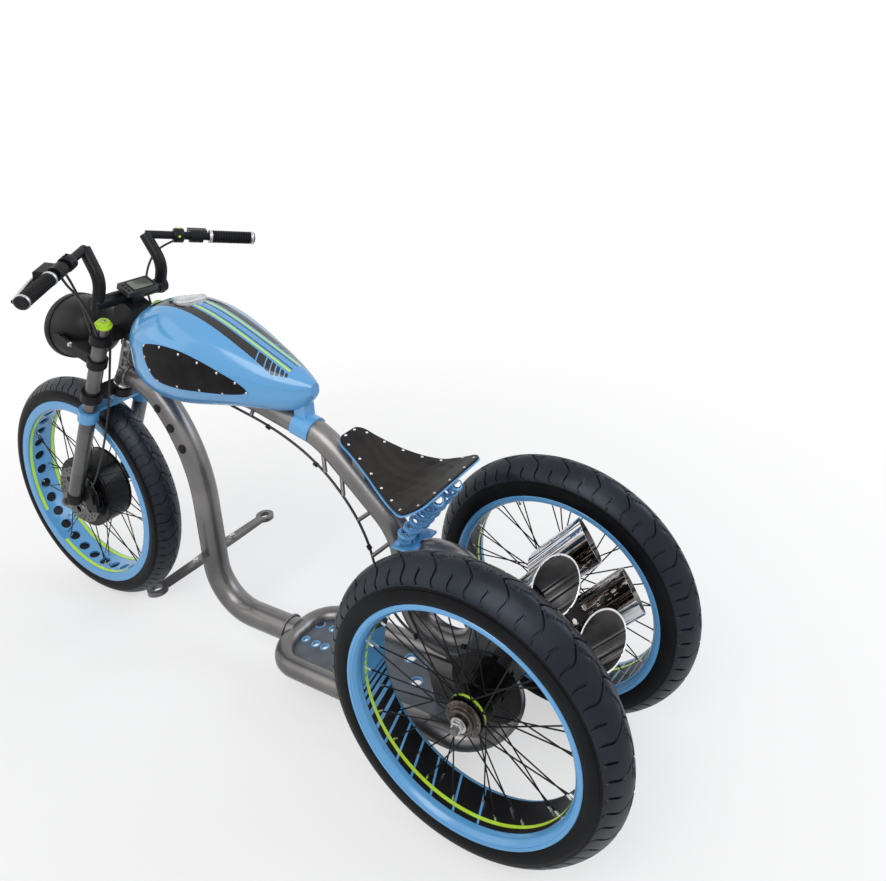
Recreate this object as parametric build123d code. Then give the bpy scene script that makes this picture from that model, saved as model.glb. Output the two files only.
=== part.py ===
from build123d import *
import math
import os

# A three-wheeled electric chopper. Millimetres, +Z up, +X forward, +Y to the rider's left.
# Places are written from the ground under the rear axle and moved to the middle at the end.
MIDDLE_X = 730

# wheels
REAR_RADIUS = 332
FRONT_RADIUS = 349
REAR_AXLE_Z = REAR_RADIUS
FRONT_AXLE_X = 1446
FRONT_AXLE_Z = FRONT_RADIUS
REAR_TRACK_HALF = 205
AXLE_PLAY = 0.05
REAR_STUB_RADIUS = 10
FRONT_STUB_RADIUS = 6
SPOKE_RADIUS = 1.5

# steering axis
RAKE = math.radians(27.3)
HEAD_POINT = (1160, 0, 830)
FORK_FORWARD = (math.cos(RAKE), 0, math.sin(RAKE))
FORK_UP = (-math.sin(RAKE), 0, math.cos(RAKE))
FORK = Location(Plane(origin=HEAD_POINT, x_dir=FORK_FORWARD, z_dir=FORK_UP))
AXLE_FORWARD = ((FRONT_AXLE_X - HEAD_POINT[0]) * math.cos(RAKE)
                + (FRONT_AXLE_Z - HEAD_POINT[2]) * math.sin(RAKE))
AXLE_DOWN = ((FRONT_AXLE_Z - HEAD_POINT[2]) * math.cos(RAKE)
             - (FRONT_AXLE_X - HEAD_POINT[0]) * math.sin(RAKE))
LEG_FORWARD = 15
LEG_SIDE = 83
LEG_RADIUS = 19
SLIDER_RADIUS = 20.5
STEERER_RADIUS = 16
HEAD_TUBE_RADIUS = 22

parts = {}


def turned(points, place):
    """A solid turned about a line along Y. Each point is (along Y, radius)."""
    outline = make_face(Polyline(*[(0, along, radius) for along, radius in points], close=True))
    return Pos(*place) * revolve(outline, Axis.Y)


def rod(start, end, radius):
    """A round bar from start to end."""
    run = Vector(*end) - Vector(*start)
    return Solid.make_cylinder(radius, run.length, Plane(origin=start, z_dir=run.normalized()))


def tube(points, radius, bends):
    """A round bar along straight runs with rounded bends."""
    path = FilletPolyline(*points, radius=bends)
    section = Plane(origin=path @ 0, z_dir=path % 0) * Circle(radius)
    return sweep(section, path=path)


def box(x0, x1, y0, y1, z0, z1):
    """A block between two corners."""
    middle = ((x0 + x1) / 2, (y0 + y1) / 2, (z0 + z1) / 2)
    return Pos(*middle) * Box(x1 - x0, y1 - y0, z1 - z0)


def flat(points, plane, depth):
    """A plate with the given outline, pushed out from the plane."""
    return extrude(plane * make_face(Polyline(*points, close=True)), amount=depth)


def other_side(shape):
    """The same piece on the right of the vehicle."""
    return mirror(shape, about=Plane.XZ)


def across(y):
    """A plane parallel to the centre plane; its outlines are (x, z)."""
    return Plane(origin=(0, y, 0), x_dir=(1, 0, 0), z_dir=(0, -1, 0))


# ---------------------------------------------------------------- wheels
RIM_LIP = 5.5
# barrel radius, bead seat radius, flange radius, half width
FRONT_RIM = (FRONT_RADIUS - 85, FRONT_RADIUS - 70, FRONT_RADIUS - 59, 44)
REAR_RIM = (REAR_RADIUS - 93, REAR_RADIUS - 83, REAR_RADIUS - 74, 55)
# one side of each tyre from the flange to the crown: half width there, how far below the tread radius
FRONT_SIDE = [(46, 47), (43, 31), (35, 20), (22, 8), (8, 1)]
REAR_SIDE = [(57, 64), (56, 48), (50, 34), (38, 20), (22, 8), (8, 1)]


def rim_outline(barrel, seat, flange, half):
    """The rim's section as (along the axle, radius), one flange after the other."""
    inner = half - RIM_LIP
    return [(-half, barrel), (half, barrel), (half, flange), (inner, flange), (inner, seat),
            (-inner, seat), (-inner, flange), (-half, flange)]


def tyre_outline(rim, side, tread_radius):
    """The tyre's section, seated in the rim between its flanges."""
    barrel, seat, flange, half = rim
    inner = half - RIM_LIP
    near = [(along, tread_radius - below) for along, below in side]
    far = [(-along, radius) for along, radius in reversed(near)]
    return ([(-inner, seat), (inner, seat), (inner, flange), (half, flange)] + near
            + [(0, tread_radius)] + far + [(-half, flange), (-inner, flange)])


def spokes(place, ring_half, ring_depth, ring_in, ring_out, rim_half, rim_in, count, lean, radius):
    """Crossed wire spokes with the two drilled rings that hold them."""
    x, y, z = place
    rings = []
    wires = []
    for side in (1, -1):
        near = side * ring_half
        far = side * (ring_half + ring_depth)
        low, high = min(near, far), max(near, far)
        rings.append(turned([(low, ring_in), (high, ring_in), (high, ring_out), (low, ring_out)], place))
        for index in range(count):
            turn = 360 / count * index + (0 if side > 0 else 180 / count)
            hand = 1 if index % 2 else -1
            root = math.radians(turn)
            tip = math.radians(turn + hand * lean)
            root_radius = (ring_in + 2 * ring_out) / 3
            root_y = y + side * (ring_half + ring_depth / 2)
            start = (x + root_radius * math.cos(root), root_y, z + root_radius * math.sin(root))
            reach = rim_in + 4
            end = (x + reach * math.cos(tip), y + side * rim_half, z + reach * math.sin(tip))
            wires.append(rod(start, end, radius))
    joined = rings[0].fuse(rings[1], *wires)
    keep = turned([(-200, 0), (200, 0), (200, rim_in), (-200, rim_in)], place)
    return joined & keep


FRONT_HUB_PLACE = (FRONT_AXLE_X, 0, FRONT_AXLE_Z)
parts["front_rim"] = turned(rim_outline(*FRONT_RIM), FRONT_HUB_PLACE)
parts["front_tyre"] = turned(tyre_outline(FRONT_RIM, FRONT_SIDE, FRONT_RADIUS), FRONT_HUB_PLACE)
front_lacing = spokes(FRONT_HUB_PLACE, 34, 4, 88, 110, 16, FRONT_RIM[0], 18, 12, SPOKE_RADIUS)
axle_hole = FRONT_STUB_RADIUS + AXLE_PLAY
motor_drum = turned([(-60, axle_hole), (60, axle_hole), (60, 20), (55, 24), (36, 26), (36, 80),
                     (34, 88), (34, 106), (30, 110), (-30, 110), (-34, 106), (-34, 88), (-47, 76),
                     (-47, 30), (-60, 24)], FRONT_HUB_PLACE)
parts["hub_motor"] = motor_drum + front_lacing
FRONT_DISC_RADIUS = 90
DISC_IN = 52
DISC_OUT = 55
front_disc = turned([(DISC_IN, 24.7), (DISC_OUT, 24.7), (DISC_OUT, FRONT_DISC_RADIUS),
                     (DISC_IN, FRONT_DISC_RADIUS)], FRONT_HUB_PLACE)
disc_seat = turned([(36, 24), (DISC_IN, 24), (DISC_IN, 46), (36, 46)], FRONT_HUB_PLACE)
parts["front_disc"] = front_disc + disc_seat - parts["hub_motor"]

REAR_HUB_PLACE = (0, REAR_TRACK_HALF, REAR_AXLE_Z)
rear_lacing = spokes(REAR_HUB_PLACE, 16, 4, 24, 42, 12, REAR_RIM[0], 18, 38, SPOKE_RADIUS)
# stations along the axle from the middle of the wheel: below zero is toward the vehicle's middle
rear_bore = REAR_STUB_RADIUS + AXLE_PLAY
rear_body = turned([(-63, rear_bore), (33, rear_bore), (33, 17), (24, 24), (-24, 24), (-30, 27),
                    (-56, 27), (-63, 20)], REAR_HUB_PLACE)
REAR_DISC_RADIUS = 80
REAR_DISC_IN = -62
REAR_DISC_OUT = -59
rear_disc = turned([(REAR_DISC_IN, 20), (-52, 20), (-52, 40), (REAR_DISC_OUT, 40),
                    (REAR_DISC_OUT, REAR_DISC_RADIUS), (REAR_DISC_IN, REAR_DISC_RADIUS)], REAR_HUB_PLACE)
rear_hub = rear_body + rear_disc + rear_lacing
freewheel = turned([(24, 24.2), (33, 17.4), (41, 17.4), (41, 24), (36, 30), (31, 30), (31, 36),
                    (27, 36), (27, 30), (24, 30)], REAR_HUB_PLACE)
parts["freewheel_left"] = freewheel - rear_hub
for hand, name in ((1, "left"), (-1, "right")):
    place = (0, hand * REAR_TRACK_HALF, REAR_AXLE_Z)
    parts["rear_rim_" + name] = turned(rim_outline(*REAR_RIM), place)
    parts["rear_tyre_" + name] = turned(tyre_outline(REAR_RIM, REAR_SIDE, REAR_RADIUS), place)
    parts["rear_hub_" + name] = rear_hub if hand > 0 else other_side(rear_hub)

# ---------------------------------------------------------------- frame
# heights up the steering axis from the point where it meets the frame's line
HEAD_LOW = -118
HEAD_HIGH = 38
CUP_RADIUS = 26
CUP_TALL = 16
head_middle = (HEAD_LOW + HEAD_HIGH) / 2
head_tall = HEAD_HIGH - HEAD_LOW
head_outer = FORK * (Pos(0, 0, head_middle) * Cylinder(HEAD_TUBE_RADIUS, head_tall))
head_bore = FORK * (Pos(0, 0, head_middle) * Cylinder(STEERER_RADIUS + AXLE_PLAY, head_tall + 44))
cup = Cylinder(CUP_RADIUS, CUP_TALL)
head_cups = FORK * (Pos(0, 0, HEAD_HIGH - CUP_TALL / 2) * cup + Pos(0, 0, HEAD_LOW + CUP_TALL / 2) * cup)
parts["head_tube"] = head_outer + head_cups - head_bore
head_solid = FORK * (Pos(0, 0, head_middle) * Cylinder(HEAD_TUBE_RADIUS, 400)) + head_cups

HOOP_RADIUS = 33
HOOP_LOW = 262
HOOP_HIGH = 486
HOOP_REAR = 92
HOOP_FRONT = 280
HOOP_CORNER = 88
hoop_middle = (HOOP_REAR + HOOP_FRONT) / 2
hoop_front = tube([(hoop_middle, 0, HOOP_HIGH), (HOOP_FRONT, 0, HOOP_HIGH), (HOOP_FRONT, 0, HOOP_LOW),
                   (hoop_middle, 0, HOOP_LOW)], HOOP_RADIUS, HOOP_CORNER)
hoop_rear = tube([(hoop_middle, 0, HOOP_HIGH), (HOOP_REAR, 0, HOOP_HIGH), (HOOP_REAR, 0, HOOP_LOW),
                  (hoop_middle, 0, HOOP_LOW)], HOOP_RADIUS, HOOP_CORNER)
parts["rear_hoop"] = hoop_front + hoop_rear

TOP_TUBE_RADIUS = 30
TOP_TUBE_LINE = [(282, 0, 370), (300, 0, 520), (500, 0, 712), (700, 0, 768), (1152, 0, 822)]
top_tube = tube(TOP_TUBE_LINE, TOP_TUBE_RADIUS, [150, 220, 300])
parts["top_tube"] = top_tube - parts["rear_hoop"] - head_solid

LOOP_Z = 112
LOOP_RADIUS = 25
LOOP_HALF = 100
LOOP_REAR = 40
LOOP_FRONT = 665
LOOP_FRONT_CORNER = 0.8 * LOOP_HALF
LOOP_REAR_CORNER = 0.95 * LOOP_HALF
loop_middle = (LOOP_REAR + LOOP_FRONT) / 2
loop_front = tube([(loop_middle, LOOP_HALF, LOOP_Z), (LOOP_FRONT, LOOP_HALF, LOOP_Z),
                   (LOOP_FRONT, -LOOP_HALF, LOOP_Z), (loop_middle, -LOOP_HALF, LOOP_Z)],
                  LOOP_RADIUS, LOOP_FRONT_CORNER)
loop_rear = tube([(loop_middle, -LOOP_HALF, LOOP_Z), (LOOP_REAR, -LOOP_HALF, LOOP_Z),
                  (LOOP_REAR, LOOP_HALF, LOOP_Z), (loop_middle, LOOP_HALF, LOOP_Z)],
                 LOOP_RADIUS, LOOP_REAR_CORNER)
parts["lower_loop"] = loop_front + loop_rear

DOWN_TUBE_RADIUS = 33
DOWN_TUBE_LINE = [(1192, 0, 764), (1076, 0, 728), (951, 0, 560), (951, 0, LOOP_Z),
                  (LOOP_FRONT + 1, 0, LOOP_Z)]
DOWN_TUBE_BENDS = [150, 420, 125]
down_tube = tube(DOWN_TUBE_LINE, DOWN_TUBE_RADIUS, DOWN_TUBE_BENDS)
parts["down_tube"] = down_tube - parts["lower_loop"] - head_solid - top_tube

DECK_THICK = 6
DECK_EDGE = 21
deck = box(LOOP_REAR + DECK_EDGE, LOOP_FRONT - DECK_EDGE, -LOOP_HALF + DECK_EDGE, LOOP_HALF - DECK_EDGE,
           LOOP_Z - DECK_THICK / 2, LOOP_Z + DECK_THICK / 2)
# x, y, radius
DECK_HOLES = [(344, -50, 14), (286, -53, 14), (228, -55, 14), (170, -57, 14), (286, 7, 14),
              (225, 4, 14), (168, 4, 14), (632, -45, 12), (588, -47, 11), (628, 15, 9),
              (592, 17, 10), (564, 15, 10)]
for hole_x, hole_y, hole_radius in DECK_HOLES:
    deck = deck - Pos(hole_x, hole_y, LOOP_Z) * Cylinder(hole_radius, 20)
parts["deck_plate"] = deck - parts["lower_loop"] - down_tube

AXLE_BEAM_RADIUS = 25
AXLE_BEAM_HALF = REAR_TRACK_HALF - 85
STUB_HALF = REAR_TRACK_HALF + 41
AXLE_END_HALF = REAR_TRACK_HALF + 63
AXLE_END_RADIUS = 8


def axle_bar(half, radius):
    """A round bar along the rear axle, as long on the left as on the right."""
    return rod((0, -half, REAR_AXLE_Z), (0, half, REAR_AXLE_Z), radius)


axle_beam = axle_bar(AXLE_BEAM_HALF, AXLE_BEAM_RADIUS)
stub_axles = axle_bar(STUB_HALF, REAR_STUB_RADIUS)
axle_ends = axle_bar(AXLE_END_HALF, AXLE_END_RADIUS)
# the plate on each side that joins the hoop, the axle and the lower loop, as (x, z)
PLATE_OUTLINE = [(-34, 306), (-34, 356), (10, 372), (78, 372), (92, 300), (112, 268), (150, 240),
                 (232, 240), (212, 124), (72, 124)]
PLATE_SIDE = 30
PLATE_THICK = 8
plate = flat(PLATE_OUTLINE, across(PLATE_SIDE + PLATE_THICK), PLATE_THICK)
plate = plate - parts["rear_hoop"] - axle_beam
deck_top = LOOP_Z + DECK_THICK / 2
strut = flat([(64, deck_top), (64, 140), (90, 140), (90, deck_top)], across(PLATE_SIDE + PLATE_THICK),
             PLATE_THICK)
plate = plate + (strut - parts["lower_loop"])
parts["rear_axle"] = axle_beam + stub_axles + axle_ends + plate + other_side(plate)

# ---------------------------------------------------------------- tank
# x, half width, bottom z, top z
TANK_SECTIONS = [(1070, 26, 846, 900), (1048, 72, 784, 950), (960, 112, 742, 993), (820, 116, 744, 985),
                 (660, 80, 760, 917), (560, 44, 770, 868), (508, 13, 808, 840)]


def tank_body(extra):
    """The teardrop tank, or the same grown by a little; its corners take 45% of the smaller side."""
    faces = []
    for x, half, low, high in TANK_SECTIONS:
        wide = 2 * (half + extra)
        tall = high - low + 2 * extra
        corner = 0.45 * min(wide, tall)
        plane = Plane(origin=(x, 0, (low + high) / 2), x_dir=(0, 1, 0), z_dir=(1, 0, 0))
        faces.append(plane * RectangleRounded(wide, tall, corner))
    return loft(faces)


tank_solid = tank_body(0)
CAP_RADIUS = 38
CAP_TALL = 17
cap_plane = Plane(origin=(889, 0, 986), z_dir=(0.06, 0, 0.998))
cap = Solid.make_cylinder(CAP_RADIUS, CAP_TALL, cap_plane)
down_clear = tube(DOWN_TUBE_LINE, DOWN_TUBE_RADIUS + 1, DOWN_TUBE_BENDS)
parts["tank"] = tank_solid - top_tube - down_clear - cap
parts["tank_cap"] = cap
# a saddle strap round the top tube under the tank's tail
strap_run = (Vector(*TOP_TUBE_LINE[3]) - Vector(*TOP_TUBE_LINE[2])).normalized()
strap_plane = Plane(origin=(522, 0, 718.2), x_dir=(0, 1, 0), z_dir=strap_run)
strap = Solid.make_cylinder(TOP_TUBE_RADIUS + 3, 52, strap_plane)
strap_keep = extrude(strap_plane * (Pos(0, 14) * Rectangle(120, 60)), amount=60)
TAB_HALF = 17
tail_tab = (strap & strap_keep) + box(534, 566, -TAB_HALF, TAB_HALF, 740, 800)
parts["tank_tail_tab"] = tail_tab - top_tube - tank_solid
PANEL_OUTLINE = [(940, 906), (934, 918), (916, 924), (826, 915), (743, 888), (637, 836), (633, 823),
                 (650, 810), (738, 804), (862, 806), (900, 815), (918, 845)]
PANEL_THICK = 4
panel_prism = flat(PANEL_OUTLINE, across(150), 120)
panel = (tank_body(PANEL_THICK) & panel_prism) - tank_solid
parts["tank_panel_left"] = panel
parts["tank_panel_right"] = other_side(panel)

# ---------------------------------------------------------------- seat
# the top of the seat on the centre plane, nose first, as (x, z)
SEAT_LINE = [(424, 732), (396, 717), (357, 697), (317, 677), (278, 661), (239, 651), (193, 655),
             (148, 674)]
# x, half width at the edge of the pan
SEAT_WIDTHS = [(422, 26), (400, 40), (357, 53), (317, 68), (278, 86), (239, 106), (196, 134), (164, 138),
               (150, 118)]
SEAT_THICK = 8
PAN_THICK = 4


def seat_ribbon(low, high, inset):
    """The dished seat between two depths below its top line, trimmed to the seat's outline."""
    under = [(x, z + low) for x, z in SEAT_LINE]
    over = [(x, z + high) for x, z in reversed(SEAT_LINE)]
    ribbon = flat(under + over, across(160), 320)
    left = [(x, half - inset) for x, half in SEAT_WIDTHS]
    right = [(x, -half) for x, half in reversed(left)]
    outline = fillet(make_face(Polyline(*left, *right, close=True)).vertices(), 10)
    return ribbon & extrude(Plane.XY.offset(600) * outline, amount=200)


parts["seat_pan"] = seat_ribbon(-SEAT_THICK - PAN_THICK, -SEAT_THICK, 0)
parts["seat_cover"] = seat_ribbon(-SEAT_THICK, 0, 3)
seat_under = [(x, z - SEAT_THICK - PAN_THICK) for x, z in SEAT_LINE]
seat_keep = flat(seat_under + [(148, 480), (424, 480)], across(160), 320)
# the block on the top tube that carries the seat's nose
NOSE_FROM = 376
NOSE_TO = 408
NOSE_HALF = 14
nose_block = (box(NOSE_FROM, NOSE_TO, -NOSE_HALF, NOSE_HALF, 620, 725) - top_tube) & seat_keep
SPRING_RADIUS = 20
SPRING_SIDE = 36
SPRING_FOOT = (264, 529)
SPRING_HEAD = (164, 651)
SPRING_BOLT_RADIUS = 6
foot_x, foot_z = SPRING_FOOT
bolt_reach = SPRING_SIDE + SPRING_RADIUS
spring_bolt = rod((foot_x, -bolt_reach, foot_z), (foot_x, bolt_reach, foot_z), SPRING_BOLT_RADIUS)
BRACKET_HALF = 46
EAR_SIDE = 12
EAR_HALF = 3
bracket = box(foot_x - 32, foot_x + 28, -BRACKET_HALF, BRACKET_HALF, foot_z - 27, foot_z - 21)
for hand in (1, -1):
    bracket = bracket + box(foot_x - 12, foot_x + 12, hand * EAR_SIDE - EAR_HALF, hand * EAR_SIDE + EAR_HALF,
                            foot_z - 24, foot_z + 9)
bracket = bracket + spring_bolt - top_tube - parts["rear_hoop"]
parts["top_tube"] = parts["top_tube"] + nose_block
parts["seat_bracket"] = bracket
for hand, name in ((1, "left"), (-1, "right")):
    spring = rod((SPRING_FOOT[0], hand * SPRING_SIDE, SPRING_FOOT[1]),
                 (SPRING_HEAD[0], hand * SPRING_SIDE, SPRING_HEAD[1]), SPRING_RADIUS)
    spring = (spring & seat_keep) - top_tube - bracket
    parts["seat_spring_" + name] = spring

# ---------------------------------------------------------------- exhaust tips
TIP_ANGLE = math.radians(46)
TIP_OUT = (-math.cos(TIP_ANGLE), 0, math.sin(TIP_ANGLE))
TIP_RADIUS = 50
TIP_WALL = 3
TIP_LENGTH = 150
TIP_FLOOR = 6
MOUTH_RISE = math.radians(25)
MOUTH_SPLAY = math.radians(34)
MOUTH_OUT = (-math.cos(MOUTH_RISE) * math.cos(MOUTH_SPLAY), math.cos(MOUTH_RISE) * math.sin(MOUTH_SPLAY),
             math.sin(MOUTH_RISE))
TIP_PLACES = [("upper", (-130, 82, 566)), ("lower", (-224, 82, 476))]
tip_shells = []
for level, mouth in TIP_PLACES:
    foot = Vector(*mouth) - Vector(*TIP_OUT) * TIP_LENGTH
    plane = Plane(origin=foot, z_dir=TIP_OUT)
    outer = Solid.make_cylinder(TIP_RADIUS, TIP_LENGTH + 80, plane)
    inner_plane = Plane(origin=foot + Vector(*TIP_OUT) * TIP_FLOOR, z_dir=TIP_OUT)
    inner = Solid.make_cylinder(TIP_RADIUS - TIP_WALL, TIP_LENGTH + 80, inner_plane)
    beyond = extrude(Plane(origin=mouth, z_dir=MOUTH_OUT) * Rectangle(500, 500), amount=250)
    tip = outer - inner - beyond
    parts["exhaust_tip_" + level + "_left"] = tip
    parts["exhaust_tip_" + level + "_right"] = other_side(tip)
    tip_shells.append(outer)
    tip_shells.append(other_side(outer))
# the plate between the tips and the arm that holds it off the axle
CARRIER_WIDE = 92
CARRIER_TALL = 170
CARRIER_HALF_THICK = 15
CARRIER_ARM_RADIUS = 14
carrier_middle = (-116, 0, 458)
carrier_plane = Plane(origin=carrier_middle, x_dir=(0, 1, 0), z_dir=TIP_OUT)
carrier = extrude(carrier_plane * RectangleRounded(CARRIER_WIDE, CARRIER_TALL, 8),
                  amount=CARRIER_HALF_THICK, both=True)
carrier = carrier + rod((0, 0, REAR_AXLE_Z), carrier_middle, CARRIER_ARM_RADIUS)
for shell in tip_shells:
    carrier = carrier - shell
parts["exhaust_carrier"] = carrier - parts["rear_axle"]

# ---------------------------------------------------------------- foot pegs
PEG_Z = 274
PEG_THICK = 12
PEG_X = 948
PEG_RING_Y = 184
PEG_RING_RADIUS = 25
PEG_EYE_RADIUS = 13
PEG_BOLT_Y = 62
PEG_BOLT_RADIUS = 5
peg_plane = Plane(origin=(0, 0, PEG_Z - PEG_THICK / 2), x_dir=(1, 0, 0), z_dir=(0, 0, 1))
peg_outline = [(PEG_X - 14, 0), (PEG_X + 20, 0), (PEG_X + 14, 70), (PEG_X + 12, PEG_RING_Y - 14),
               (PEG_X - 12, PEG_RING_Y - 14), (PEG_X - 14, 70)]
peg_ring = Pos(PEG_X, PEG_RING_Y, PEG_Z)
peg = flat(peg_outline, peg_plane, PEG_THICK) + peg_ring * Cylinder(PEG_RING_RADIUS, PEG_THICK)
peg = peg - peg_ring * Cylinder(PEG_EYE_RADIUS, 40)
peg = peg - Pos(PEG_X, PEG_BOLT_Y, PEG_Z) * Cylinder(PEG_BOLT_RADIUS, 40)
parts["foot_peg_left"] = peg - down_tube
parts["foot_peg_right"] = other_side(parts["foot_peg_left"])

# ---------------------------------------------------------------- steering
UPPER_CROWN = (48, 72)
LOWER_CROWN = (-149, -123)
STEM_NUT_RADIUS = 20
STEM_NUT_TALL = 8
CROWN_BOSS_RADIUS = 29
CLAMP_RADIUS = 28
CROWN_HALF_DEPTH = 16
steerer_low = LOWER_CROWN[0]
steerer_high = UPPER_CROWN[1] + 5
steerer = Pos(0, 0, (steerer_low + steerer_high) / 2) * Cylinder(STEERER_RADIUS, steerer_high - steerer_low)
stem_nut = Pos(0, 0, UPPER_CROWN[1] + STEM_NUT_TALL / 2) * Cylinder(STEM_NUT_RADIUS, STEM_NUT_TALL)


def crown(low, high):
    """A plate across both fork legs with the steerer through it."""
    tall = high - low
    middle = (low + high) / 2
    solid = Pos(0, 0, middle) * Cylinder(CROWN_BOSS_RADIUS, tall)
    for hand in (1, -1):
        solid = solid + Pos(LEG_FORWARD, hand * LEG_SIDE, middle) * Cylinder(CLAMP_RADIUS, tall)
    solid = solid + box(LEG_FORWARD - CROWN_HALF_DEPTH, LEG_FORWARD + CROWN_HALF_DEPTH, -LEG_SIDE, LEG_SIDE,
                        low, high)
    for hand in (1, -1):
        solid = solid - Pos(LEG_FORWARD, hand * LEG_SIDE, middle) * Cylinder(LEG_RADIUS, tall + 10)
    return FORK * (solid - Pos(0, 0, middle) * Cylinder(STEERER_RADIUS, tall + 10))


def leg_piece(low, high, radius):
    """A round piece on the left fork leg's line between two heights."""
    return Pos(LEG_FORWARD, LEG_SIDE, (low + high) / 2) * Cylinder(radius, high - low)


parts["upper_crown"] = crown(*UPPER_CROWN)
parts["lower_crown"] = crown(*LOWER_CROWN) + FORK * (steerer + stem_nut)
FRONT_AXLE_HALF = 106
NUT_SIDE = 99
axle_rod = FORK * (Pos(AXLE_FORWARD, 0, AXLE_DOWN)
                   * (Rot(90, 0, 0) * Cylinder(FRONT_STUB_RADIUS, 2 * FRONT_AXLE_HALF)))
axle_nut = Rot(90, 0, 0) * Cylinder(11, 10)
nuts = FORK * (Pos(AXLE_FORWARD, NUT_SIDE, AXLE_DOWN) * axle_nut
               + Pos(AXLE_FORWARD, -NUT_SIDE, AXLE_DOWN) * axle_nut)
parts["front_axle"] = axle_rod + nuts
LEG_TOP = 98
SLIDER_TOP = -215
slider_low = AXLE_DOWN + 13.6
leg = FORK * leg_piece(SLIDER_TOP, LEG_TOP, LEG_RADIUS)
slider = FORK * leg_piece(slider_low, SLIDER_TOP, SLIDER_RADIUS)
# the dropout plate, forward of and above the axle's middle
DROPOUT = [(-35.5, 13.6), (-35.5, 58.6), (-3.5, 58.6), (16.5, 13.6), (18.5, -13.4), (-3.5, -23.4),
           (-21.5, -13.4)]
DROPOUT_OUT = 94
DROPOUT_THICK = 14
dropout_outline = [(AXLE_FORWARD + forward, AXLE_DOWN + up) for forward, up in DROPOUT]
dropout = FORK * flat(dropout_outline, across(DROPOUT_OUT), DROPOUT_THICK)
slider = slider + dropout - axle_rod
FORK_CAP_RADIUS = 18
FORK_CAP_TALL = 11
cap_low = FORK * leg_piece(LEG_TOP, LEG_TOP + FORK_CAP_TALL, FORK_CAP_RADIUS)
cap_top = FORK * (Pos(LEG_FORWARD, LEG_SIDE, LEG_TOP + FORK_CAP_TALL + 2.5) * Cone(FORK_CAP_RADIUS, 14, 5))
leg_cap = cap_low + cap_top
for hand, name in ((1, "left"), (-1, "right")):
    parts["fork_leg_" + name] = leg + slider if hand > 0 else other_side(leg + slider)
    parts["fork_cap_" + name] = leg_cap if hand > 0 else other_side(leg_cap)

# the plate that ties the legs together just above the sliders, with a ring on each leg
BRACE_Z = -205
BRACE_RING_RADIUS = 27
BRACE_RING_TALL = 34
BRACE_FORWARD = (2, 60)
brace = box(*BRACE_FORWARD, -70, 70, BRACE_Z + 8, BRACE_Z + 17)
for hand in (1, -1):
    brace = brace + Pos(LEG_FORWARD, hand * LEG_SIDE, BRACE_Z) * Cylinder(BRACE_RING_RADIUS, BRACE_RING_TALL)
for hand in (1, -1):
    brace = brace - Pos(LEG_FORWARD, hand * LEG_SIDE, BRACE_Z) * Cylinder(LEG_RADIUS, 60)
    brace = brace - Pos(LEG_FORWARD, hand * LEG_SIDE, SLIDER_TOP - 5) * Cylinder(SLIDER_RADIUS, 10)
    window = make_face(Polyline((12, hand * 8), (50, hand * 8), (50, hand * 50), close=True))
    brace = brace - extrude(Plane.XY.offset(BRACE_Z - 5) * window, amount=40)
parts["fork_brace"] = FORK * brace

# headlight
LAMP_PLACE = (1235, 0, 870)
LAMP_RADIUS = 88
LENS_RADIUS = 80
LENS_SEAT = 138
RIM_END = 146
lamp_profile = [(0, 0), (4, 22), (18, 48), (42, 70), (80, 84), (120, LAMP_RADIUS), (RIM_END, LAMP_RADIUS),
                (RIM_END, LENS_RADIUS), (LENS_SEAT, LENS_RADIUS), (LENS_SEAT, 0)]
lamp_face = make_face(Polyline(*[(x, 0, z) for x, z in lamp_profile], close=True))
parts["headlight_shell"] = Pos(*LAMP_PLACE) * revolve(lamp_face, Axis.X)
lens_profile = [(LENS_SEAT, 0), (LENS_SEAT, LENS_RADIUS), (RIM_END + 2, LENS_RADIUS), (156, 56), (162, 28),
                (164, 0)]
lens_face = make_face(Polyline(*[(x, 0, z) for x, z in lens_profile], close=True))
parts["headlight_lens"] = Pos(*LAMP_PLACE) * revolve(lens_face, Axis.X)
# the ring on the leg, the arm forward from it and the block against the shell
LAMP_RING_LOW = -32
LAMP_RING_TALL = 24
ARM_OUT = 98
ARM_THICK = 7
leg_void = FORK * leg_piece(-260, 140, LEG_RADIUS)
lamp_ring = FORK * leg_piece(LAMP_RING_LOW, LAMP_RING_LOW + LAMP_RING_TALL, LEG_RADIUS + 6) - leg_void
lamp_x, lamp_z = LAMP_PLACE[0], LAMP_PLACE[2]
lamp_arm = flat([(lamp_x - 55, lamp_z - 32), (lamp_x - 45, lamp_z - 58), (lamp_x + 86, lamp_z - 15),
                 (lamp_x + 98, lamp_z + 1), (lamp_x + 84, lamp_z + 15)], across(ARM_OUT), ARM_THICK)
lamp_block = box(lamp_x + 68, lamp_x + 96, ARM_OUT - 20, ARM_OUT, lamp_z - 15, lamp_z + 13)
lamp_bracket = lamp_ring + (lamp_arm + lamp_block - leg_void) - parts["headlight_shell"]
lamp_bracket = lamp_bracket - parts["headlight_lens"]
parts["headlight_bracket_left"] = lamp_bracket
parts["headlight_bracket_right"] = other_side(lamp_bracket)

# bars
YOKE_FORWARD = 36.5
YOKE_UP = 158
YOKE_RADIUS = 18
YOKE_HALF = 80
RISER_RADIUS = 15
BAR_RADIUS = 11
RISER_SIDE = 92
STEM_HALF = 30
stem = box(-12, 50, -STEM_HALF, STEM_HALF, UPPER_CROWN[1], YOKE_UP - 8) - stem_nut
yoke = Pos(YOKE_FORWARD, 0, YOKE_UP) * (Rot(90, 0, 0) * Cylinder(YOKE_RADIUS, 2 * YOKE_HALF))
parts["bar_yoke"] = FORK * (stem + yoke)
RISER_LINE = [(1124, RISER_SIDE, 972), (1094, 90, 1050), (1139, 87, 1126)]
ELBOW = RISER_LINE[2]
BAR_END = (1007, 332, 1072)
riser = tube(RISER_LINE, RISER_RADIUS, 60)
bar = riser + Pos(*ELBOW) * Sphere(RISER_RADIUS) + rod(ELBOW, BAR_END, BAR_RADIUS)
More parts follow.
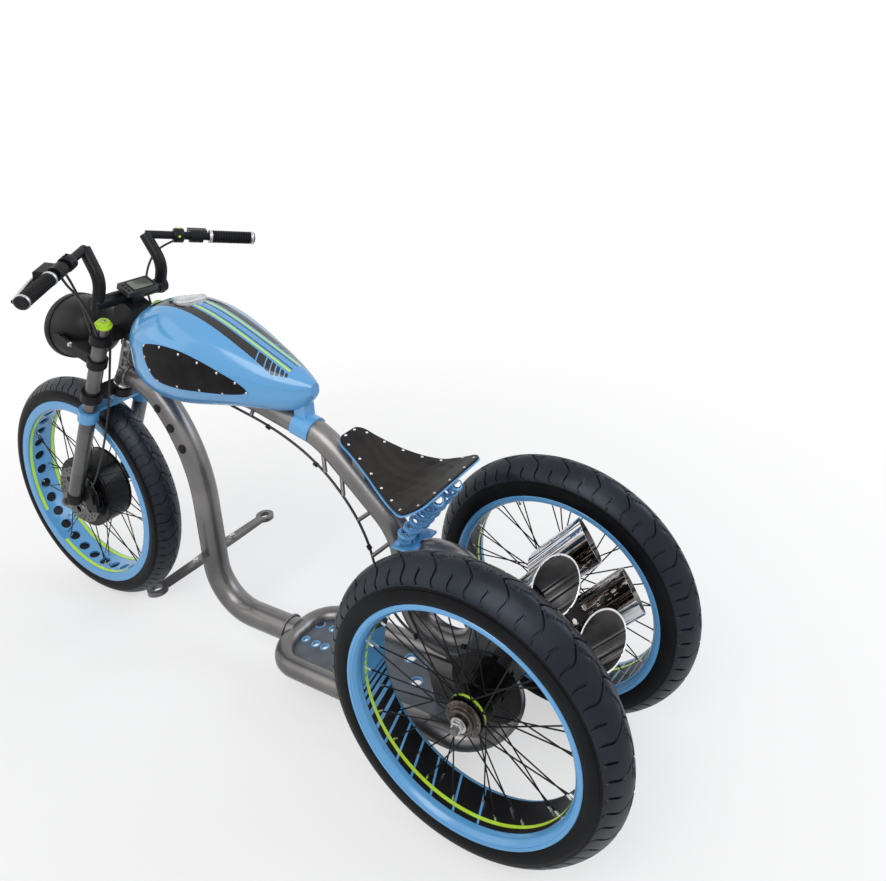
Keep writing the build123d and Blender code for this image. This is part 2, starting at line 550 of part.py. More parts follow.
bar_eye = FORK * (Pos(YOKE_FORWARD, RISER_SIDE, YOKE_UP) * (Rot(90, 0, 0) * Cylinder(20, 24)))
bar = bar + bar_eye - FORK * yoke
parts["handlebar_left"] = bar
parts["handlebar_right"] = other_side(bar)
bar_run = (Vector(*BAR_END) - Vector(*ELBOW)).normalized()
GRIP_RADIUS = 17.5
GRIP_FROM_ELBOW = 164
GRIP_PAST_END = 4
grip_start = Vector(*ELBOW) + bar_run * GRIP_FROM_ELBOW
grip = Solid.make_cylinder(GRIP_RADIUS, (Vector(*BAR_END) - grip_start).length + GRIP_PAST_END,
                           Plane(origin=grip_start, z_dir=bar_run))
grip = grip - bar
parts["grip_left"] = grip
parts["grip_right"] = other_side(grip)
# the brake lever: its clamp on the bar, the cylinder in front, the link and the blade
CLAMP_FROM_ELBOW = 112
LEVER_CLAMP_RADIUS = 18
LEVER_CLAMP_LONG = 34
BODY_LONG = 48
BLADE_RADIUS = 5
LINK_RADIUS = 6
clamp_start = Vector(*ELBOW) + bar_run * CLAMP_FROM_ELBOW
clamp_plane = Plane(origin=clamp_start, x_dir=(1, 0, 0.25), z_dir=bar_run)
clamp = Solid.make_cylinder(LEVER_CLAMP_RADIUS, LEVER_CLAMP_LONG, clamp_plane)
clamp = clamp + extrude(clamp_plane * (Pos(24, 0) * RectangleRounded(34, 24, 6)), amount=BODY_LONG)
blade_start = clamp_start + Vector(44, 0, 4) + bar_run * 30
blade_mid = clamp_start + Vector(52, 0, 0) + bar_run * 80
blade_end = clamp_start + Vector(44, 0, -8) + bar_run * 160
blade = tube([tuple(blade_start), tuple(blade_mid), tuple(blade_end)], BLADE_RADIUS, 60)
link = rod(tuple(clamp_start + Vector(20, 0, 4) + bar_run * 30), tuple(blade_start), LINK_RADIUS)
lever = clamp + blade + link
lever = lever - rod(ELBOW, BAR_END, BAR_RADIUS)
parts["brake_lever_left"] = lever
parts["brake_lever_right"] = other_side(lever)
DISPLAY_WIDE = 88
DISPLAY_TALL = 50
DISPLAY_THICK = 13
screen = Plane(origin=(1092, -4, 1004), x_dir=(0, 1, 0), z_dir=(-math.sin(RAKE), 0, math.cos(RAKE)))
display = extrude(screen * RectangleRounded(DISPLAY_WIDE, DISPLAY_TALL, 5), amount=DISPLAY_THICK)
display_foot = extrude(screen * Rectangle(30, 26), amount=-34)
parts["display"] = (display + display_foot) - parts["bar_yoke"]

# ---------------------------------------------------------------- calipers
# the room each disc has inside its caliper, and past the disc's edge
DISC_ROOM = 5.5
EDGE_ROOM = 6


def disc_slot(inner, outer, radius, place):
    """The space that a disc turns in."""
    return turned([(inner - DISC_ROOM, 0), (outer + DISC_ROOM, 0), (outer + DISC_ROOM, radius + EDGE_ROOM),
                   (inner - DISC_ROOM, radius + EDGE_ROOM)], place)


behind = FRONT_AXLE_X - 94
before = FRONT_AXLE_X - 46
caliper = box(behind, before, DISC_IN - 8.5, DISC_OUT + 12, FRONT_AXLE_Z - 31, FRONT_AXLE_Z + 23)
caliper = caliper - disc_slot(DISC_IN, DISC_OUT, FRONT_DISC_RADIUS, FRONT_HUB_PLACE)
caliper_arm = box(behind + 4, before, DISC_OUT + 6, DISC_OUT + 17, FRONT_AXLE_Z - 4, FRONT_AXLE_Z + 46)
parts["front_caliper"] = caliper + caliper_arm - slider
# the rear one straddles the disc from above, on an arm from the axle's beam
caliper_in = REAR_TRACK_HALF - 77
rear_caliper = box(-60, -14, caliper_in, REAR_TRACK_HALF - 53, REAR_AXLE_Z + 46, REAR_AXLE_Z + 80)
disc_turns = disc_slot(REAR_DISC_IN, REAR_DISC_OUT, REAR_DISC_RADIUS, REAR_HUB_PLACE)
disc_and_hub = disc_slot(REAR_DISC_IN, REAR_DISC_OUT + 24, REAR_DISC_RADIUS, REAR_HUB_PLACE)
rear_arm = box(-50, -10, caliper_in - 20, caliper_in + 4, REAR_AXLE_Z + 8, REAR_AXLE_Z + 72) - axle_beam
rear_caliper = (rear_caliper - disc_turns + rear_arm) - disc_and_hub
parts["rear_caliper_left"] = rear_caliper
parts["rear_caliper_right"] = other_side(rear_caliper)

# ---------------------------------------------------------------- cables and hoses
def cord(points, radius):
    """A cable or hose along points, each bend as large as its two runs allow."""
    bends = []
    places = [Vector(*point) for point in points]
    for before, here, after in zip(places, places[1:], places[2:]):
        turn = math.radians((here - before).get_angle(after - here))
        shorter = min((here - before).length, (after - here).length)
        bends.append(0.45 * shorter / math.tan(turn / 2))
    print("bends", [round(bend) for bend in bends])
    return tube(points, radius, bends)


CABLE_RADIUS = 3
BRAKE_CABLE = [(778, 31, 757), (728, 28, 742), (670, 27, 727), (606, 27, 706), (540, 28, 677),
               (478, 29, 636), (430, 30, 588), (392, 31, 536), (366, 33, 482), (350, 37, 426),
               (325, 45, 366), (275, 58, 322), (210, 72, 312), (140, 86, 334), (70, 100, 366),
               (20, 110, 384), (-20, 118, 392)]
brake_cable = cord(BRAKE_CABLE, CABLE_RADIUS)
parts["brake_cable"] = brake_cable - parts["tank"] - parts["rear_caliper_left"]
# clips that hold the cable to the top tube: a point of the tube's middle line, a point of the cable
CABLE_CLIPS = [((700, 768), (699, 27.5, 735)), ((508, 712), (478, 29, 636)), ((456, 664), (430, 30, 588)),
               ((352, 566), (392, 31, 536)), ((300, 505), (358, 35, 455))]
clips = []
for (tube_x, tube_z), cable_point in CABLE_CLIPS:
    inner = Vector(tube_x, 0, tube_z) * 0.7 + Vector(*cable_point) * 0.3
    clips.append(rod(tuple(inner), cable_point, 5) - brake_cable)
parts["top_tube"] = parts["top_tube"].fuse(*clips)

FRONT_HOSE = [(1150, 50, 890), (1168, 50, 850), (1182, 52, 796), (1198, 56, 728), (1222, 58, 650),
              (1256, 60, 570), (1296, 62, 490), (1340, 64, 420), (1368, 65, 388)]
BAR_CABLES = [[(1080, 196, 1096), (1080, 184, 1066), (1090, 152, 1022), (1104, 128, 968), (1122, 108, 918),
               (1138, 96, 884)],
              [(1104, 172, 1100), (1108, 158, 1070), (1122, 134, 1016), (1138, 116, 960), (1152, 104, 916),
               (1156, 94, 886)],
              [(1118, -186, 1096), (1150, -164, 1086), (1176, -134, 1066), (1186, -108, 1022),
               (1184, -94, 972), (1168, -90, 926), (1156, -88, 890)]]
crown_side = [parts["upper_crown"], parts["fork_cap_left"], parts["fork_cap_right"], parts["fork_leg_left"],
              parts["fork_leg_right"]]
bar_side = [parts[piece + hand] for piece in ("handlebar", "brake_lever") for hand in ("_left", "_right")]
hoses = []
for points in [FRONT_HOSE] + BAR_CABLES:
    hose = cord(points, CABLE_RADIUS)
    for held_by in crown_side + bar_side + [parts["front_caliper"]]:
        hose = hose - held_by
    hoses.append(hose)
parts["front_cables"] = Compound(children=hoses)

# ---------------------------------------------------------------- files
os.makedirs("parts", exist_ok=True)
for name, shape in parts.items():
    moved = Pos(-MIDDLE_X, 0, 0) * shape
    moved.label = name
    solids = moved.solids()
    print(name, len(solids), round(moved.volume / 1000), moved.is_valid)
    export_step(moved, "parts/" + name + ".step")
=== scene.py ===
import math

import bpy
import numpy
from mathutils import Matrix, Vector


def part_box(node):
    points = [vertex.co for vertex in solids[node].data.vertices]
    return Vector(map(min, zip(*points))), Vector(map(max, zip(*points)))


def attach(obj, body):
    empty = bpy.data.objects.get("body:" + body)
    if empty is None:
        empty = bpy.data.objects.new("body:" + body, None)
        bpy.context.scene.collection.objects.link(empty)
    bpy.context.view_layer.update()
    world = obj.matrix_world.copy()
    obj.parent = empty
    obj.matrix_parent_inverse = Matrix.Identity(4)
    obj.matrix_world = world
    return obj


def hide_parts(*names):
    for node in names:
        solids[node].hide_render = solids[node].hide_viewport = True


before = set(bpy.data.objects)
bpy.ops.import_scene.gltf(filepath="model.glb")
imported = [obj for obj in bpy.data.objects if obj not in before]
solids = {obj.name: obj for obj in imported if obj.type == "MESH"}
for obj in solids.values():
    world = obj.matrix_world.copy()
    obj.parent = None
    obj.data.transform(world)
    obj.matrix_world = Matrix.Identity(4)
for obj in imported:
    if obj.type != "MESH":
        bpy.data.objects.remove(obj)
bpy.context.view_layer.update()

# ---- stage
# A pale seamless studio floor that runs out into a white wall, soft lamps and
# the camera, which stands behind the left rear wheel and looks forward.
CAMERA_RIGHT = Vector((-0.870963, -0.489204, -0.045812))
CAMERA_UP = Vector((0.093021, -0.255722, 0.962265))
CAMERA_BACK = Vector((-0.482463, 0.833836, 0.268231))
CAMERA_PLACE = Vector((-1.43696, 1.23252, 1.52933))
camera_data = bpy.data.cameras.new("camera")
camera_data.sensor_width = 36.0
camera_data.lens = 32.15
camera_data.shift_x = -0.0653
camera_data.shift_y = -0.1813
camera = bpy.data.objects.new("camera", camera_data)
bpy.context.scene.collection.objects.link(camera)
camera_turn = Matrix((CAMERA_RIGHT, CAMERA_UP, CAMERA_BACK)).transposed()
camera.matrix_world = Matrix.Translation(CAMERA_PLACE) @ camera_turn.to_4x4()
bpy.context.scene.camera = camera
bpy.context.scene.view_settings.view_transform = "Standard"


def painted(name):
    """A new material, its node tree and its main shader."""
    material = bpy.data.materials.new(name)
    material.use_nodes = True
    return material, material.node_tree, material.node_tree.nodes["Principled BSDF"]


def wire(tree, node, sockets):
    """Sets numbers on a node's sockets, and links the outputs of other nodes to them."""
    for socket, value in sockets.items():
        if isinstance(value, bpy.types.NodeSocket):
            tree.links.new(value, node.inputs[socket])
        else:
            node.inputs[socket].default_value = value


def step(tree, kind, sockets=None, **settings):
    """A new node of a finish, with its settings and its sockets."""
    node = tree.nodes.new("ShaderNode" + kind)
    for setting, value in settings.items():
        setattr(node, setting, value)
    wire(tree, node, sockets or {})
    return node


WHITE = (1.0, 1.0, 1.0, 1.0)
FLOOR_SIZE = 24.0
# the floor turns white between these distances from the middle, in metres
FADE_FROM, FADE_TO = 0.5, 2.6
bpy.ops.object.select_all(action="DESELECT")
bpy.ops.mesh.primitive_plane_add(size=FLOOR_SIZE, location=(0.0, 0.0, 0.0))
floor = bpy.context.object
floor.name = "floor"
floor_paint, tree, matt = painted("floor")
wire(tree, matt, {"Base Color": (0.90, 0.90, 0.905, 1.0), "Roughness": 0.8, "Specular IOR Level": 0.1})
place = step(tree, "TexCoord")
far = step(tree, "VectorMath", {0: place.outputs["Object"]}, operation="LENGTH")
fade = step(tree, "MapRange", {"Value": far.outputs["Value"], "From Min": FADE_FROM, "To Min": 0.55,
                               "From Max": FADE_TO}, interpolation_type="SMOOTHSTEP")
rays = step(tree, "LightPath")
seen = step(tree, "Math", {0: fade.outputs["Result"], 1: rays.outputs["Is Camera Ray"]},
            operation="MULTIPLY")
white = step(tree, "Emission", {"Color": WHITE})
mix = step(tree, "MixShader", {0: seen.outputs[0], 1: matt.outputs[0], 2: white.outputs[0]})
wire(tree, tree.nodes["Material Output"], {"Surface": mix.outputs[0]})
floor.data.materials.append(floor_paint)

for lamp_name, place, size, power, aim, colour in (
        ("key_lamp", (-1.0, 2.6, 3.4), 2.2, 62.0, (0.0, 0.0, 0.4), (1.0, 0.99, 0.97)),
        ("fill_lamp", (2.6, 2.4, 2.8), 3.0, 24.0, (0.3, 0.0, 0.5), (1.0, 1.0, 1.0)),
        ("back_lamp", (-2.8, -2.6, 3.0), 2.4, 52.0, (0.0, 0.0, 0.5), (0.78, 0.88, 1.0))):
    lamp_data = bpy.data.lights.new(lamp_name, "AREA")
    lamp_data.size = size
    lamp_data.energy = power
    lamp_data.color = colour
    lamp = bpy.data.objects.new(lamp_name, lamp_data)
    lamp.location = place
    lamp.rotation_euler = (Vector(aim) - Vector(place)).to_track_quat("-Z", "Y").to_euler()
    bpy.context.scene.collection.objects.link(lamp)

# the wall is plain white to the eye and in what shines, and lights softly
world = bpy.data.worlds.new("studio")
bpy.context.scene.world = world
world.use_nodes = True
sky = world.node_tree
sky.nodes.clear()
sky_out = step(sky, "OutputWorld")
soft_light = step(sky, "Background", {"Color": WHITE, "Strength": 0.54})
white_wall = step(sky, "Background", {"Color": WHITE, "Strength": 1.0})
rays = step(sky, "LightPath")
seen = step(sky, "Math", {0: rays.outputs["Is Camera Ray"], 1: rays.outputs["Is Transmission Ray"]},
            operation="MAXIMUM")
seen_too = step(sky, "Math", {0: seen.outputs[0], 1: rays.outputs["Is Glossy Ray"]}, operation="MAXIMUM")
mix = step(sky, "MixShader", {0: seen_too.outputs[0], 1: soft_light.outputs[0],
                              2: white_wall.outputs[0]})
wire(sky, sky_out, {0: mix.outputs[0]})


def mottled(name, dark, light, metallic, rough, scale, grain=0.0, coat=0.0, spread=0.08, shine=0.5):
    """A finish whose colour and gloss drift a little over the surface."""
    material, tree, shader = painted(name)
    place = step(tree, "TexCoord")
    cloud = step(tree, "TexNoise", {"Vector": place.outputs["Object"], "Scale": scale, "Detail": 6.0})
    tint = step(tree, "ValToRGB", {"Fac": cloud.outputs["Fac"]})
    for stop, share, colour in zip(tint.color_ramp.elements, (0.35, 0.65), (dark, light)):
        stop.position = share
        stop.color = (*colour, 1.0)
    gloss = step(tree, "MapRange", {"Value": cloud.outputs["Fac"], "To Min": rough - spread,
                                    "To Max": rough + spread})
    wire(tree, shader, {"Metallic": metallic, "Coat Weight": coat, "Coat Roughness": 0.05,
                        "Specular IOR Level": shine, "Base Color": tint.outputs["Color"],
                        "Roughness": gloss.outputs["Result"]})
    if grain:
        pores = step(tree, "TexNoise", {"Vector": place.outputs["Object"], "Detail": 3.0,
                                        "Scale": max(scale * 22.0, 300.0)})
        relief = step(tree, "Bump", {"Strength": grain, "Distance": 0.0006,
                                     "Height": pores.outputs["Fac"]})
        wire(tree, shader, {"Normal": relief.outputs["Normal"]})
    return material


def dress(material, *names):
    """Gives the material to these solids of the frame."""
    for name in names:
        solid = solids[name]
        if not solid.material_slots:
            solid.data.materials.append(material)
        for material_slot in solid.material_slots:
            material_slot.material = material


bare_steel = mottled("bare_steel", (0.120, 0.115, 0.114), (0.215, 0.205, 0.202), 0.80, 0.33, 6.0, 0.08, 0.45)
dress(bare_steel, "head_tube", "rear_hoop", "top_tube", "lower_loop", "down_tube")

# ---- frame welds
# Each joint of the tubes is closed by a rippled fillet weld, run by hand and
# left under the lacquer, a shade darker than the tube.
REAR_AXLE_X = (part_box("rear_tyre_left")[0][0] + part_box("rear_tyre_left")[1][0]) / 2


def spot(x, y, z):
    """A place in the shared frame, in millimetres ahead of the rear axle, to the left and up."""
    return Vector((REAR_AXLE_X + x / 1000, y / 1000, z / 1000))


def chosen(*pieces):
    """Selects these pieces and nothing else, with the first one active."""
    bpy.ops.object.select_all(action="DESELECT")
    for piece in pieces:
        piece.select_set(True)
    bpy.context.view_layer.objects.active = pieces[0]


def finish(piece, name, material, slot, body, smooth=40.0):
    """Names a piece, smooths it, gives it its finish and lets it ride on its body."""
    chosen(piece)
    bpy.ops.object.transform_apply(location=True, rotation=True, scale=True)
    bpy.ops.object.shade_smooth_by_angle(angle=math.radians(smooth))
    piece.name = name
    piece.data.name = name
    piece.data.materials.clear()
    piece.data.materials.append(material)
    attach(piece, body)
    return piece


def merged(pieces):
    """Several pieces as one object."""
    chosen(*pieces)
    bpy.ops.object.join()
    return pieces[0]


def facing(toward):
    """The turn that points a new piece's own Z along a line."""
    return Vector(toward).to_track_quat("Z", "Y").to_euler()


def weld(place, toward, radius, bead=3.2):
    """A rippled bead round a tube, in millimetres."""
    rounds, ripple = 10, 0.011
    bpy.ops.object.select_all(action="DESELECT")
    bpy.ops.mesh.primitive_torus_add(location=place, rotation=facing(toward), major_segments=144,
                                     minor_segments=rounds, major_radius=radius / 1000,
                                     minor_radius=bead / 1000)
    ring = bpy.context.object
    for index, vertex in enumerate(ring.data.vertices):
        vertex.co *= 1.0 + ripple * math.sin(index // rounds * math.tau / 4)
    return ring


steel_weld = mottled("steel_weld", (0.09, 0.08, 0.075), (0.22, 0.20, 0.19), 0.85, 0.36, 90.0, 0.15, 0.5)
# where each weld is, the way its tube runs, the tube's radius and the bead's
WELDS = [((287, 0, 425), (0.12, 0.0, 1.0), 33.0, 4.0), ((1128, 0, 819), (1.0, 0.0, 0.12), 31.5, 3.2),
         ((1163, 0, 755), (1.0, 0.0, 0.31), 34.5, 3.2), ((693, 0, 112), (1.0, 0.0, 0.0), 34.5, 3.6)]
finish(merged([weld(spot(*place), Vector(toward), radius, bead) for place, toward, radius, bead in WELDS]),
       "frame_welds", steel_weld, "bare_steel", "frame")

# ---- down tube plugs
# Three moulded rubber plugs close the wiring holes in the left of the down tube.
# Each is pressed in by hand and held by the groove behind its flange.


def sealed(gap, outward=True, sides=None):
    """Merges the doubled points of the active mesh; may fill holes of up to sides edges (0 for
    any) and turn all faces outwards."""
    bpy.ops.object.mode_set(mode="EDIT")
    bpy.ops.mesh.select_all(action="SELECT")
    bpy.ops.mesh.remove_doubles(threshold=gap)
    if sides is not None:
        bpy.ops.mesh.fill_holes(sides=sides)
    if outward:
        bpy.ops.mesh.normals_make_consistent(inside=False)
    bpy.ops.object.mode_set(mode="OBJECT")


def turned(outline, start, toward, steps=96):
    """A closed outline of (along, radius) in millimetres, spun about a line."""
    bpy.ops.object.select_all(action="DESELECT")
    bpy.ops.mesh.primitive_circle_add(vertices=len(outline), radius=1.0)
    piece = bpy.context.object
    for vertex, (along, radius) in zip(piece.data.vertices, outline):
        vertex.co = (radius / 1000, 0.0, along / 1000)
    bpy.ops.object.mode_set(mode="EDIT")
    bpy.ops.mesh.select_all(action="SELECT")
    bpy.ops.mesh.spin(steps=steps, angle=math.tau, center=(0.0, 0.0, 0.0), axis=(0.0, 0.0, 1.0))
    sealed(0.00001)
    piece.rotation_euler = facing(toward)
    piece.location = start
    return piece


soft_rubber = mottled("soft_rubber", (0.006, 0.006, 0.007), (0.014, 0.014, 0.015), 0.0, 0.5, 25.0, 0.25,
                      shine=0.15)
DOWN_TUBE_SIDE = 31.5
PLUG_OUTLINE = [(-3, 0.2), (-3, 10), (0.5, 12.5), (2.6, 11.4), (4.6, 8.2), (5.4, 4.0), (5.6, 0.2)]
PLUG_PLACES = [(1045, 690), (1006, 641), (973, 588)]
plugs = [turned(PLUG_OUTLINE, spot(x, DOWN_TUBE_SIDE, z), (0.0, 1.0, 0.0), 32) for x, z in PLUG_PLACES]
finish(merged(plugs), "down_tube_plugs", soft_rubber, "rubber", "frame")

# ---- tyres
# Moulded rubber road tyres: a smooth sidewall, a crease at the shoulder and long
# curved sipes that meet in a zigzag groove along the middle of the tread.
SIDES = ((1, "left"), (-1, "right"))
REAR_RADIUS, FRONT_RADIUS = 332.0, 349.0
REAR_WHEEL_Y, FRONT_AXLE = 205.0, 1446.0
# each section is (across, drop below the crown), from the shoulder to the crown
REAR_SECTION = [(55, 70), (57, 64), (56, 48), (50, 34), (38, 20), (22, 8), (8, 1)]
FRONT_SECTION = [(44, 52), (46, 47), (43, 31), (35, 20), (22, 8), (8, 1)]
rear_hubs = {hand_name: spot(0, hand * REAR_WHEEL_Y, REAR_RADIUS) for hand, hand_name in SIDES}
FRONT_HUB = spot(FRONT_AXLE, 0, FRONT_RADIUS)
# where the eight columns of points of one sipe stand, as shares of its pitch; two are its groove
SIPE_COLUMNS = numpy.array([0.0, 0.025, 0.125, 0.15, 0.36, 0.58, 0.79, 0.90])
# reaches are shares of the way from the middle of the tread to the bead
HOOK_FROM, HOOK_RATE, HOOK_SIZE = 0.10, 9.4, 0.24
LONG_FROM, LONG_TO, SHORT_TO, FADE_OUT = 0.02, 0.655, 0.645, 0.06
WEAVE_SIZE, MIDDLE_HALF, MIDDLE_SHARE = 0.075, 0.019, 0.9
CREASE_REACH, CREASE_HALF, CREASE_DEPTH = 0.70, 0.026, 4.2
RIB_REACH, RIB_HALF, RIB_HEIGHT = 0.80, 0.08, 1.6
ROUND_STEPS, ROUND_BLUR = 60, 9


def mirrored(side):
    """A list of (across, height) points, followed by its mirror image in reverse."""
    return side + [(-across, height) for across, height in reversed(side)]


def sheet(rows, columns):
    """A flat grid, to be laid on a surface point by point."""
    bpy.ops.object.select_all(action="DESELECT")
    bpy.ops.mesh.primitive_grid_add(x_subdivisions=rows, y_subdivisions=columns, size=2.0)
    return bpy.context.object


def blurred(values, width):
    """A row of values, each averaged with its neighbours; width is odd."""
    kernel = numpy.hanning(width)
    kernel /= kernel.sum()
    ends = width // 2
    padded = numpy.concatenate((2 * values[0] - values[ends:0:-1], values,
                                2 * values[-1] - values[-2:-ends - 2:-1]))
    return numpy.convolve(padded, kernel, mode="valid")


def tread(name, centre, radius, section, seat, sipes, lean, groove, short_from, wall_drop, body):
    """A tyre wrapped from one flat grid, closed by a second one along its beads."""
    half, wall = section[0][0], radius - section[0][1]
    knots = numpy.array([(-across, radius - drop) for across, drop in section] + [(0.0, radius)]
                        + [(across, radius - drop) for across, drop in reversed(section)])
    along = numpy.concatenate(([0.0], numpy.cumsum(numpy.hypot(*numpy.diff(knots, axis=0).T))))
    steps = numpy.linspace(0.0, along[-1], ROUND_STEPS + 1)
    across, height = (blurred(numpy.interp(steps, along, knots[:, axis]), ROUND_BLUR) for axis in (0, 1))
    columns = sipes * len(SIPE_COLUMNS)
    tyre = sheet(columns, ROUND_STEPS)
    flat = numpy.empty(len(tyre.data.vertices) * 3)
    tyre.data.vertices.foreach_get("co", flat)
    flat = flat.reshape(-1, 3)
    column = numpy.rint((flat[:, 0] + 1.0) / 2.0 * columns).astype(int)
    row = numpy.rint((flat[:, 1] + 1.0) / 2.0 * ROUND_STEPS).astype(int)
    phase, sipe = column % len(SIPE_COLUMNS), column // len(SIPE_COLUMNS)
    turn = sipe + SIPE_COLUMNS[phase]
    reach = (steps / along[-1] * 2.0 - 1.0)[row]
    outward = numpy.abs(reach)
    # each sipe is a long drawn S, hooked at both ends
    curve = lean * outward ** 1.5 + HOOK_SIZE * numpy.sin((outward - HOOK_FROM) * HOOK_RATE)
    angle = turn * (math.tau / sipes) + curve * (math.tau / sipes)
    long_one = (sipe % 2) == 0
    start = numpy.where(long_one, LONG_FROM, short_from)
    end = numpy.where(long_one, LONG_TO, SHORT_TO)
    in_groove = ((phase == 1) | (phase == 2)) & (outward > start) & (outward < end)
    depth = numpy.where(in_groove, groove, 0.0) * numpy.clip((end - outward) / FADE_OUT, 0.0, 1.0)
    # the groove along the middle weaves from side to side
    weave = WEAVE_SIZE * numpy.sin(turn * math.pi)
    depth = numpy.maximum(depth, groove * MIDDLE_SHARE * (numpy.abs(reach - weave) < MIDDLE_HALF))
    depth = numpy.maximum(depth, CREASE_DEPTH * (numpy.abs(outward - CREASE_REACH) < CREASE_HALF))
    depth = depth - RIB_HEIGHT * numpy.clip(1.0 - numpy.abs(outward - RIB_REACH) / RIB_HALF, 0.0, 1.0)
    wrapped = numpy.empty_like(flat)
    wrapped[:, 0] = (height[row] - depth) * numpy.cos(angle)
    wrapped[:, 1] = across[row]
    wrapped[:, 2] = (height[row] - depth) * numpy.sin(angle)
    tyre.data.vertices.foreach_set("co", (wrapped / 1000.0).ravel())
    tyre.data.update()
    sealed(0.00002, outward=False)
    # the beads, down to the rim's seat and across it
    rim_side = mirrored([(-half, wall), (-half + 2.0, seat + 3.0), (-half + 6.0, seat + 1.0),
                         (-half + 12.0, seat - 1.0)])
    bead = sheet(columns, len(rim_side) - 1)
    for vertex in bead.data.vertices:
        at = round((vertex.co.x + 1.0) / 2.0 * columns) / columns * math.tau
        bead_across, bead_height = rim_side[round((vertex.co.y + 1.0) / 2.0 * (len(rim_side) - 1))]
        vertex.co = (bead_height / 1000 * math.cos(at), bead_across / 1000,
                     bead_height / 1000 * math.sin(at))
    whole = merged([tyre, bead])
    sealed(0.00002)
    whole.location = centre
    finish(whole, name, tread_rubber_blue_sheen, "tyre", body, 35.0)
    whole.data.materials.append(wall_rubber)
    # faces low on the sidewall take the plain black rubber, without the painted sheen
    for face in whole.data.polygons:
        if math.hypot(face.center.x - centre.x, face.center.z - centre.z) * 1000 < radius - wall_drop:
            face.material_index = 1
    return whole


# the tread's rubber is tinted faintly blue in its colour and in its Specular Tint, a painted blue sheen; the
# sidewall's rubber is plain black
tread_rubber_blue_sheen = mottled("tread_rubber_blue_sheen", (0.0050, 0.0060, 0.0085), (0.0110, 0.0132, 0.0185), 0.0, 0.36, 14.0,
                      0.20, 0.0, 0.06, 0.32)
tread_sheen_shader = tread_rubber_blue_sheen.node_tree.nodes["Principled BSDF"]
tread_sheen_shader.inputs["Specular Tint"].default_value = (0.74, 0.85, 1.0, 1.0)
wall_rubber = mottled("wall_rubber", (0.0040, 0.0042, 0.0050), (0.0080, 0.0084, 0.0096), 0.0, 0.40, 10.0,
                      0.12, 0.0, 0.05, 0.10)
for hand, hand_name in SIDES:
    rear_tread = tread("rear_tread_" + hand_name, rear_hubs[hand_name], REAR_RADIUS, REAR_SECTION, 255.0,
                       54, 1.5, 4.6, 0.30, 39.0, "rear_wheel_" + hand_name)
    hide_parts("rear_tyre_" + hand_name)
front_tread = tread("front_tread", FRONT_HUB, FRONT_RADIUS, FRONT_SECTION, 286.0,
                    72, 1.9, 3.6, 0.36, 25.0, "front_wheel")
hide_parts("front_tyre")

# ---- rear rims
# Rolled alloy rims, painted sky blue with a flat face, a step and a bevel; the
# barrel is black with blue slashes and one lime pinstripe near the outer edge.


def laid(rows, columns, place):
    """A sheet whose points are laid by place(row share, column share) in metres."""
    patch = sheet(rows, columns)
    for vertex in patch.data.vertices:
        vertex.co = place((vertex.co.x + 1) / 2, (vertex.co.y + 1) / 2)
    return patch


def band(centre, radius, side_from, side_to, near_angles, far_angles=None, rows=2):
    """A strip of paint inside a barrel, between two angles at each side, in degrees."""
    near_from, near_to = near_angles
    far_from, far_to = far_angles or near_angles

    def place(along, across):
        near = near_from + (near_to - near_from) * across
        far = far_from + (far_to - far_from) * across
        angle = math.radians(near + (far - near) * along)
        return centre + Vector((radius * math.cos(angle), side_from + (side_to - side_from) * along,
                                radius * math.sin(angle))) / 1000
    patch = laid(rows, max(2, int(abs(near_to - near_from) / 3)), place)
    sealed(0.00001, outward=False)
    return patch


sky_blue = mottled("sky_blue", (0.095, 0.330, 0.640), (0.112, 0.365, 0.690), 0.0, 0.24, 3.0, 0.0, 0.35)
rim_black = mottled("rim_black", (0.004, 0.004, 0.005), (0.008, 0.008, 0.010), 0.0, 0.34, 5.0, shine=0.2)
lime = mottled("lime", (0.50, 0.78, 0.028), (0.58, 0.88, 0.040), 0.0, 0.33, 5.0, 0.0, 0.3)
bright = mottled("bright_bolt", (0.46, 0.45, 0.44), (0.66, 0.65, 0.64), 0.95, 0.24, 40.0)
REAR_RIM_OUTLINE = [(55, 257), (55, 250.5), (53.6, 250), (53.4, 247), (47, 241), (42, 239.2), (33.5, 238.95),
                    (-42, 238.95), (-47, 241), (-53.4, 247), (-53.6, 250), (-55, 250.5), (-55, 257)]
REAR_RIM_OUTLINE += mirrored([(-53.5, 258.2), (-51.5, 257.4), (-50, 250), (-46, 249)])
# each blue slash: its angles at the inner side of the barrel, then at its outer side
REAR_SLASHES = [((inner, inner + width), (outer, outer + width)) for inner, outer, width in (
    (-89.5, -95.5, 1.2), (-75.7, -81.7, 1.2), (-61.7, -68.8, 1.2), (-50.7, -56.4, 1.25),
    (-40.1, -46.1, 1.3), (-31.7, -36.3, 1.5), (-23.7, -28.3, 2.2), (-16.9, -21.0, 2.8), (-11.3, -15.2, 2.7),
    (-6.9, -10.6, 2.3), (-3.2, -6.7, 2.2))] + [((-0.4, 20), (-3.8, 31))]
SLASH_RADIUS, SLASH_INNER, SLASH_OUTER = 238.55, 41.0, 33.0
LINE_RADIUS, LINE_FROM, LINE_TO = 238.35, 15.5, 23.0
BARREL_HALF, BARREL_RADIUS = 0.034, 0.242
RIGHT_WHEEL_TURN = -100.0
VALVE_ANGLE, VALVE_SEAT = math.radians(62), 238.5
VALVE_OUTLINE = [(0, 0.2), (0, 3.4), (1.5, 3.8), (9, 3.8), (9.5, 2.9), (17, 2.6), (18, 3.1), (24, 3.1),
                 (25.5, 2.2), (25.8, 0.2)]
valve_out = Vector((math.cos(VALVE_ANGLE), 0.0, math.sin(VALVE_ANGLE)))
